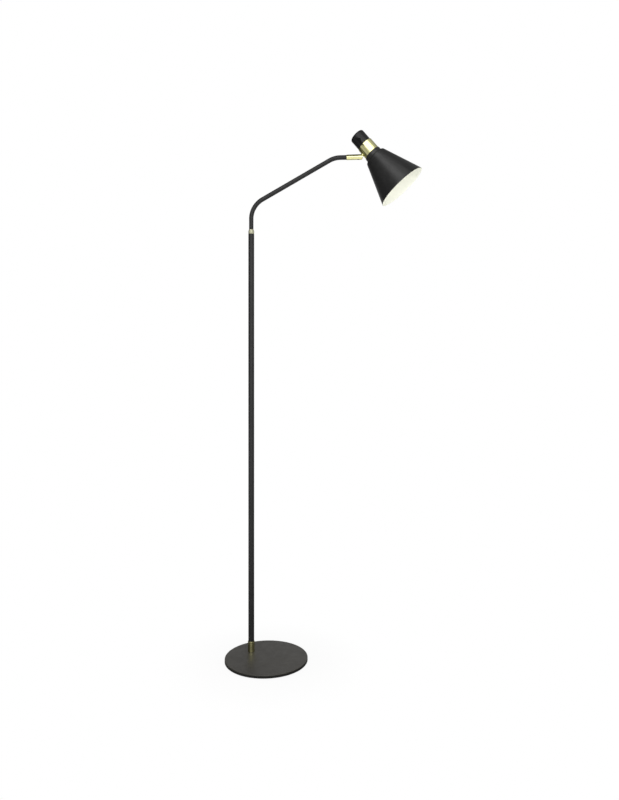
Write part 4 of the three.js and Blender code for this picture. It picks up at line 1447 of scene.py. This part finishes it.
def hang(thing: bpy.types.Object, place: Sequence[float], target: Sequence[float]) -> None:
    """Adds a lamp or a card to the scene, hidden from the camera.

    Args:
        thing: the object.
        place: where it hangs.
        target: the point that it faces.
    """
    thing.location = place
    thing.rotation_euler = (Vector(target) - Vector(place)).to_track_quat("-Z", "Y").to_euler()
    thing.visible_camera = False
    bpy.context.scene.collection.objects.link(thing)


def glow(tree: bpy.types.NodeTree, kind: str, level: float) -> bpy.types.ShaderNode:
    """Adds a white light of its own to a material or the surround.

    Args:
        tree: the node tree that it is added to.
        kind: the node's type.
        level: its brightness.

    Returns:
        The node.
    """
    node = tree.nodes.new(kind)
    node.inputs["Color"].default_value = WHITE
    node.inputs["Strength"].default_value = level
    return node


@dataclass(frozen=True)
class Softbox:
    """A soft lamp: where it stands, where it points, its sides and its brightness."""

    name: str
    place: tuple[float, float, float]
    target: tuple[float, float, float]
    width: float
    height: float
    radiance: float
    seen_in_gloss: bool = True

    def add(self) -> None:
        """Hangs the lamp."""
        light = bpy.data.lights.new(self.name, "AREA")
        light.shape = "RECTANGLE"
        light.size = self.width
        light.size_y = self.height
        light.energy = self.radiance * self.width * self.height * math.pi
        thing = bpy.data.objects.new(self.name, light)
        thing.visible_glossy = self.seen_in_gloss
        hang(thing, self.place, self.target)


@dataclass(frozen=True)
class Card:
    """A sheet that only reflections see, darker or brighter than the surround, for glossy parts to show."""

    name: str
    place: tuple[float, float, float]
    target: tuple[float, float, float]
    width: float
    height: float
    level: float

    def add(self) -> None:
        """Hangs the card."""
        material = bpy.data.materials.new(self.name)
        material.use_nodes = True
        tree = material.node_tree
        tree.nodes.clear()
        light = glow(tree, "ShaderNodeEmission", self.level)
        out = tree.nodes.new("ShaderNodeOutputMaterial")
        tree.links.new(light.outputs["Emission"], out.inputs["Surface"])
        x, y = self.width / 2, self.height / 2
        mesh = bpy.data.meshes.new(self.name)
        mesh.from_pydata([(-x, -y, 0), (x, -y, 0), (x, y, 0), (-x, y, 0)], [], [(0, 1, 2, 3)])
        mesh.materials.append(material)
        thing = bpy.data.objects.new(self.name, mesh)
        thing.visible_diffuse = False
        thing.visible_transmission = False
        thing.visible_shadow = False
        hang(thing, self.place, self.target)
        thing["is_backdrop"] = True


class Studio:
    """A white floor and surround, soft lamps, and cards for the reflections."""

    softboxes: ClassVar[Sequence[Softbox]] = (
        Softbox("front_softbox", (0.15, -2.68, 1.86), (0.35, -0.08, 0.96), 2.7, 2.9, 2.0),
        Softbox("low_softbox", (2.4, -0.6, 0.35), (0.34, 0.04, 1.3), 2.0, 1.6, 2.85, False),
        Softbox("bounce_softbox", (0.4, -1.3, 0.03), (0.34, 0.04, 1.3), 1.6, 1.0, 1.65, False),
        Softbox("left_bounce_softbox", (-0.75, -0.15, 0.03), (0.34, 0.04, 1.3), 0.8, 0.8, 5.5, False),
    )
    cards: ClassVar[Sequence[Card]] = (
        Card("hot_card", (-0.4, -1.27, 2.9), (0.3, 0.03, 1.35), 0.96, 1.2, 2.6),
        Card("hot_middle_card", (0.5, -0.9, 2.95), (0.32, 0.03, 1.33), 0.42, 1.0, 1.5),
        Card("hot_right_card", (1.3, -2.1, 3.4), (0.3, 0.03, 1.38), 1.4, 1.1, 2.0),
        Card("front_flag", (0.24, -2.265, 2.918), (0.24, 0.335, 2.018), 0.34, 0.78, 0.1),
        Card("sleeve_flag", (0.226, 0.002, 1.389), (0.226, 0.0335, 1.36), 0.052, 0.036, 0.1),
        Card("knuckle_card", (0.24, -0.13, 1.0), (0.24, -0.13, 2.0), 0.14, 0.5, 1.5),
        Card("ceiling_strip", (0.475, -0.2, 3.88), (0.475, -0.2, 0.0), 1.65, 6.2, 0.2),
        Card("ceiling_card", (-1.3, 1.0, 3.9), (-1.3, 1.0, 0.0), 5.4, 5.9, 0.4),
        Card("right_ceiling_card", (2.9, -0.82, 3.9), (2.9, -0.82, 0.0), 3.0, 2.25, 0.68),
        Card("right_ceiling_back", (2.9, 2.12, 3.9), (2.9, 2.12, 0.0), 3.0, 3.65, 0.42),
        Card("left_floor_card", (-3.0, 0.0, 0.01), (-3.0, 0.0, 1.0), 4.0, 8.0, 0.68),
        Card("mat_card", (0.2, 0.1, 0.002), (0.2, 0.1, 1.0), 2.4, 1.8, 0.1),
        Card("left_flag", (-2.5, 1.85, 1.95), (0.0, 1.85, 1.95), 4.2, 3.9, 0.06),
        Card("left_card", (-3.5, -2.2, 0.75), (0.0, -2.2, 0.75), 3.8, 1.5, 0.47),
        Card("left_high_card", (-3.5, -2.2, 3.05), (0.0, -2.2, 3.05), 3.8, 3.1, 0.2),
        Card("right_card", (2.6, 0.5, 0.5), (0.0, 0.5, 0.5), 5.0, 1.0, 0.15),
        Card("back_left_card", (-1.75, 3.9, 1.95), (-1.75, 0.0, 1.95), 1.7, 3.9, 0.42),
        Card("back_card", (0.5, 4.0, 1.95), (0.5, 0.0, 1.95), 7.0, 3.9, 0.57),
    )

    ambient: float = 0.55
    floor_radius: float = 40.0
    floor_height: float = -0.0003
    floor_grey: tuple[float, float, float, float] = (0.94, 0.94, 0.94, 1.0)
    fade_start: float = 0.13
    fade_end: float = 0.30
    fade_share: float = 0.9

    def build(self) -> None:
        """Sets up everything round the lamp."""
        self.build_world()
        self.build_floor()
        for item in (*self.softboxes, *self.cards):
            item.add()

    @staticmethod
    def seen(tree: bpy.types.NodeTree) -> bpy.types.NodeSocket:
        """A socket that is 1 for what the camera and reflections see, and 0 for plain light."""
        path = tree.nodes.new("ShaderNodeLightPath")
        found = path.outputs["Is Camera Ray"]
        for name in ("Is Glossy Ray", "Is Transmission Ray"):
            either = tree.nodes.new("ShaderNodeMath")
            either.operation = "MAXIMUM"
            tree.links.new(found, either.inputs[0])
            tree.links.new(path.outputs[name], either.inputs[1])
            found = either.outputs["Value"]
        return found

    def build_world(self) -> None:
        """White to the eye and to reflections, a softer grey as light."""
        world = bpy.data.worlds.new("studio_surround")
        world.use_nodes = True
        tree = world.node_tree
        tree.nodes.clear()
        light = glow(tree, "ShaderNodeBackground", self.ambient)
        white = glow(tree, "ShaderNodeBackground", 1.0)
        mix = tree.nodes.new("ShaderNodeMixShader")
        out = tree.nodes.new("ShaderNodeOutputWorld")
        tree.links.new(self.seen(tree), mix.inputs["Fac"])
        tree.links.new(light.outputs["Background"], mix.inputs[1])
        tree.links.new(white.outputs["Background"], mix.inputs[2])
        tree.links.new(mix.outputs["Shader"], out.inputs["Surface"])
        bpy.context.scene.world = world

    def build_floor(self) -> None:
        """A white floor that keeps the lamp's soft contact shadow and is plain white further off."""
        material = bpy.data.materials.new("studio_floor_white")
        material.use_nodes = True
        tree = material.node_tree
        tree.nodes.clear()
        matt = tree.nodes.new("ShaderNodeBsdfDiffuse")
        matt.inputs["Color"].default_value = self.floor_grey
        white = glow(tree, "ShaderNodeEmission", 1.0)
        place = tree.nodes.new("ShaderNodeTexCoord")
        distance = tree.nodes.new("ShaderNodeVectorMath")
        distance.operation = "LENGTH"
        tree.links.new(place.outputs["Object"], distance.inputs[0])
        fade = tree.nodes.new("ShaderNodeMapRange")
        fade.interpolation_type = "SMOOTHSTEP"
        fade.inputs["From Min"].default_value = self.fade_start
        fade.inputs["From Max"].default_value = self.fade_end
        fade.inputs["To Min"].default_value = self.fade_share
        fade.inputs["To Max"].default_value = 1.0
        tree.links.new(distance.outputs["Value"], fade.inputs["Value"])
        shown = tree.nodes.new("ShaderNodeMixShader")
        tree.links.new(fade.outputs["Result"], shown.inputs["Fac"])
        tree.links.new(matt.outputs["BSDF"], shown.inputs[1])
        tree.links.new(white.outputs["Emission"], shown.inputs[2])
        mix = tree.nodes.new("ShaderNodeMixShader")
        out = tree.nodes.new("ShaderNodeOutputMaterial")
        tree.links.new(self.seen(tree), mix.inputs["Fac"])
        tree.links.new(matt.outputs["BSDF"], mix.inputs[1])
        tree.links.new(shown.outputs["Shader"], mix.inputs[2])
        tree.links.new(mix.outputs["Shader"], out.inputs["Surface"])
        bm = bmesh.new()
        bmesh.ops.create_circle(bm, cap_ends=True, radius=self.floor_radius, segments=96)
        mesh = bpy.data.meshes.new("studio_floor")
        bm.to_mesh(mesh)
        bm.free()
        mesh.materials.append(material)
        floor = bpy.data.objects.new("studio_floor", mesh)
        floor.location = (0.0, 0.0, self.floor_height)
        bpy.context.scene.collection.objects.link(floor)
        floor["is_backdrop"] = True


@dataclass(frozen=True)
class Camera:
    """The camera: level, nearly square to the arm, at about the lamp's middle."""

    place: tuple[float, float, float] = (0.23979, -1.60433, 0.6994)
    heading: float = 4.4
    lens: float = 27.09
    sensor: float = 36.0

    def add(self) -> None:
        """Sets the camera up and makes it the scene's."""
        data = bpy.data.cameras.new("studio_camera")
        data.lens = self.lens
        data.sensor_width = self.sensor
        data.clip_start = 0.05
        data.clip_end = 200.0
        thing = bpy.data.objects.new("studio_camera", data)
        thing.location = self.place
        thing.rotation_euler = (math.pi / 2, 0.0, math.radians(self.heading))
        bpy.context.scene.collection.objects.link(thing)
        bpy.context.scene.camera = thing


def main() -> tuple[Vector, Vector]:
    """Builds the lamp's looks and the studio round it.

    Returns:
        The lowest and highest corner of the construction model's box.
    """
    logging.basicConfig(level=logging.INFO, format="%(name)s: %(message)s")
    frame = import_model()
    cad_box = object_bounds()
    bpy.context.scene.view_settings.view_transform = "Standard"
    palette = Palette()
    for sub_assembly in (Stand, Arm, Head):
        built = sub_assembly(frame, palette)
        built.build()
        built.dress()
        log.info("%s: %d pieces", built.body.value, len(built.pieces) + len(built.carried))
    Studio().build()
    Camera().add()
    return cad_box


if __name__ == "__main__":
    cad_low, cad_high = main()
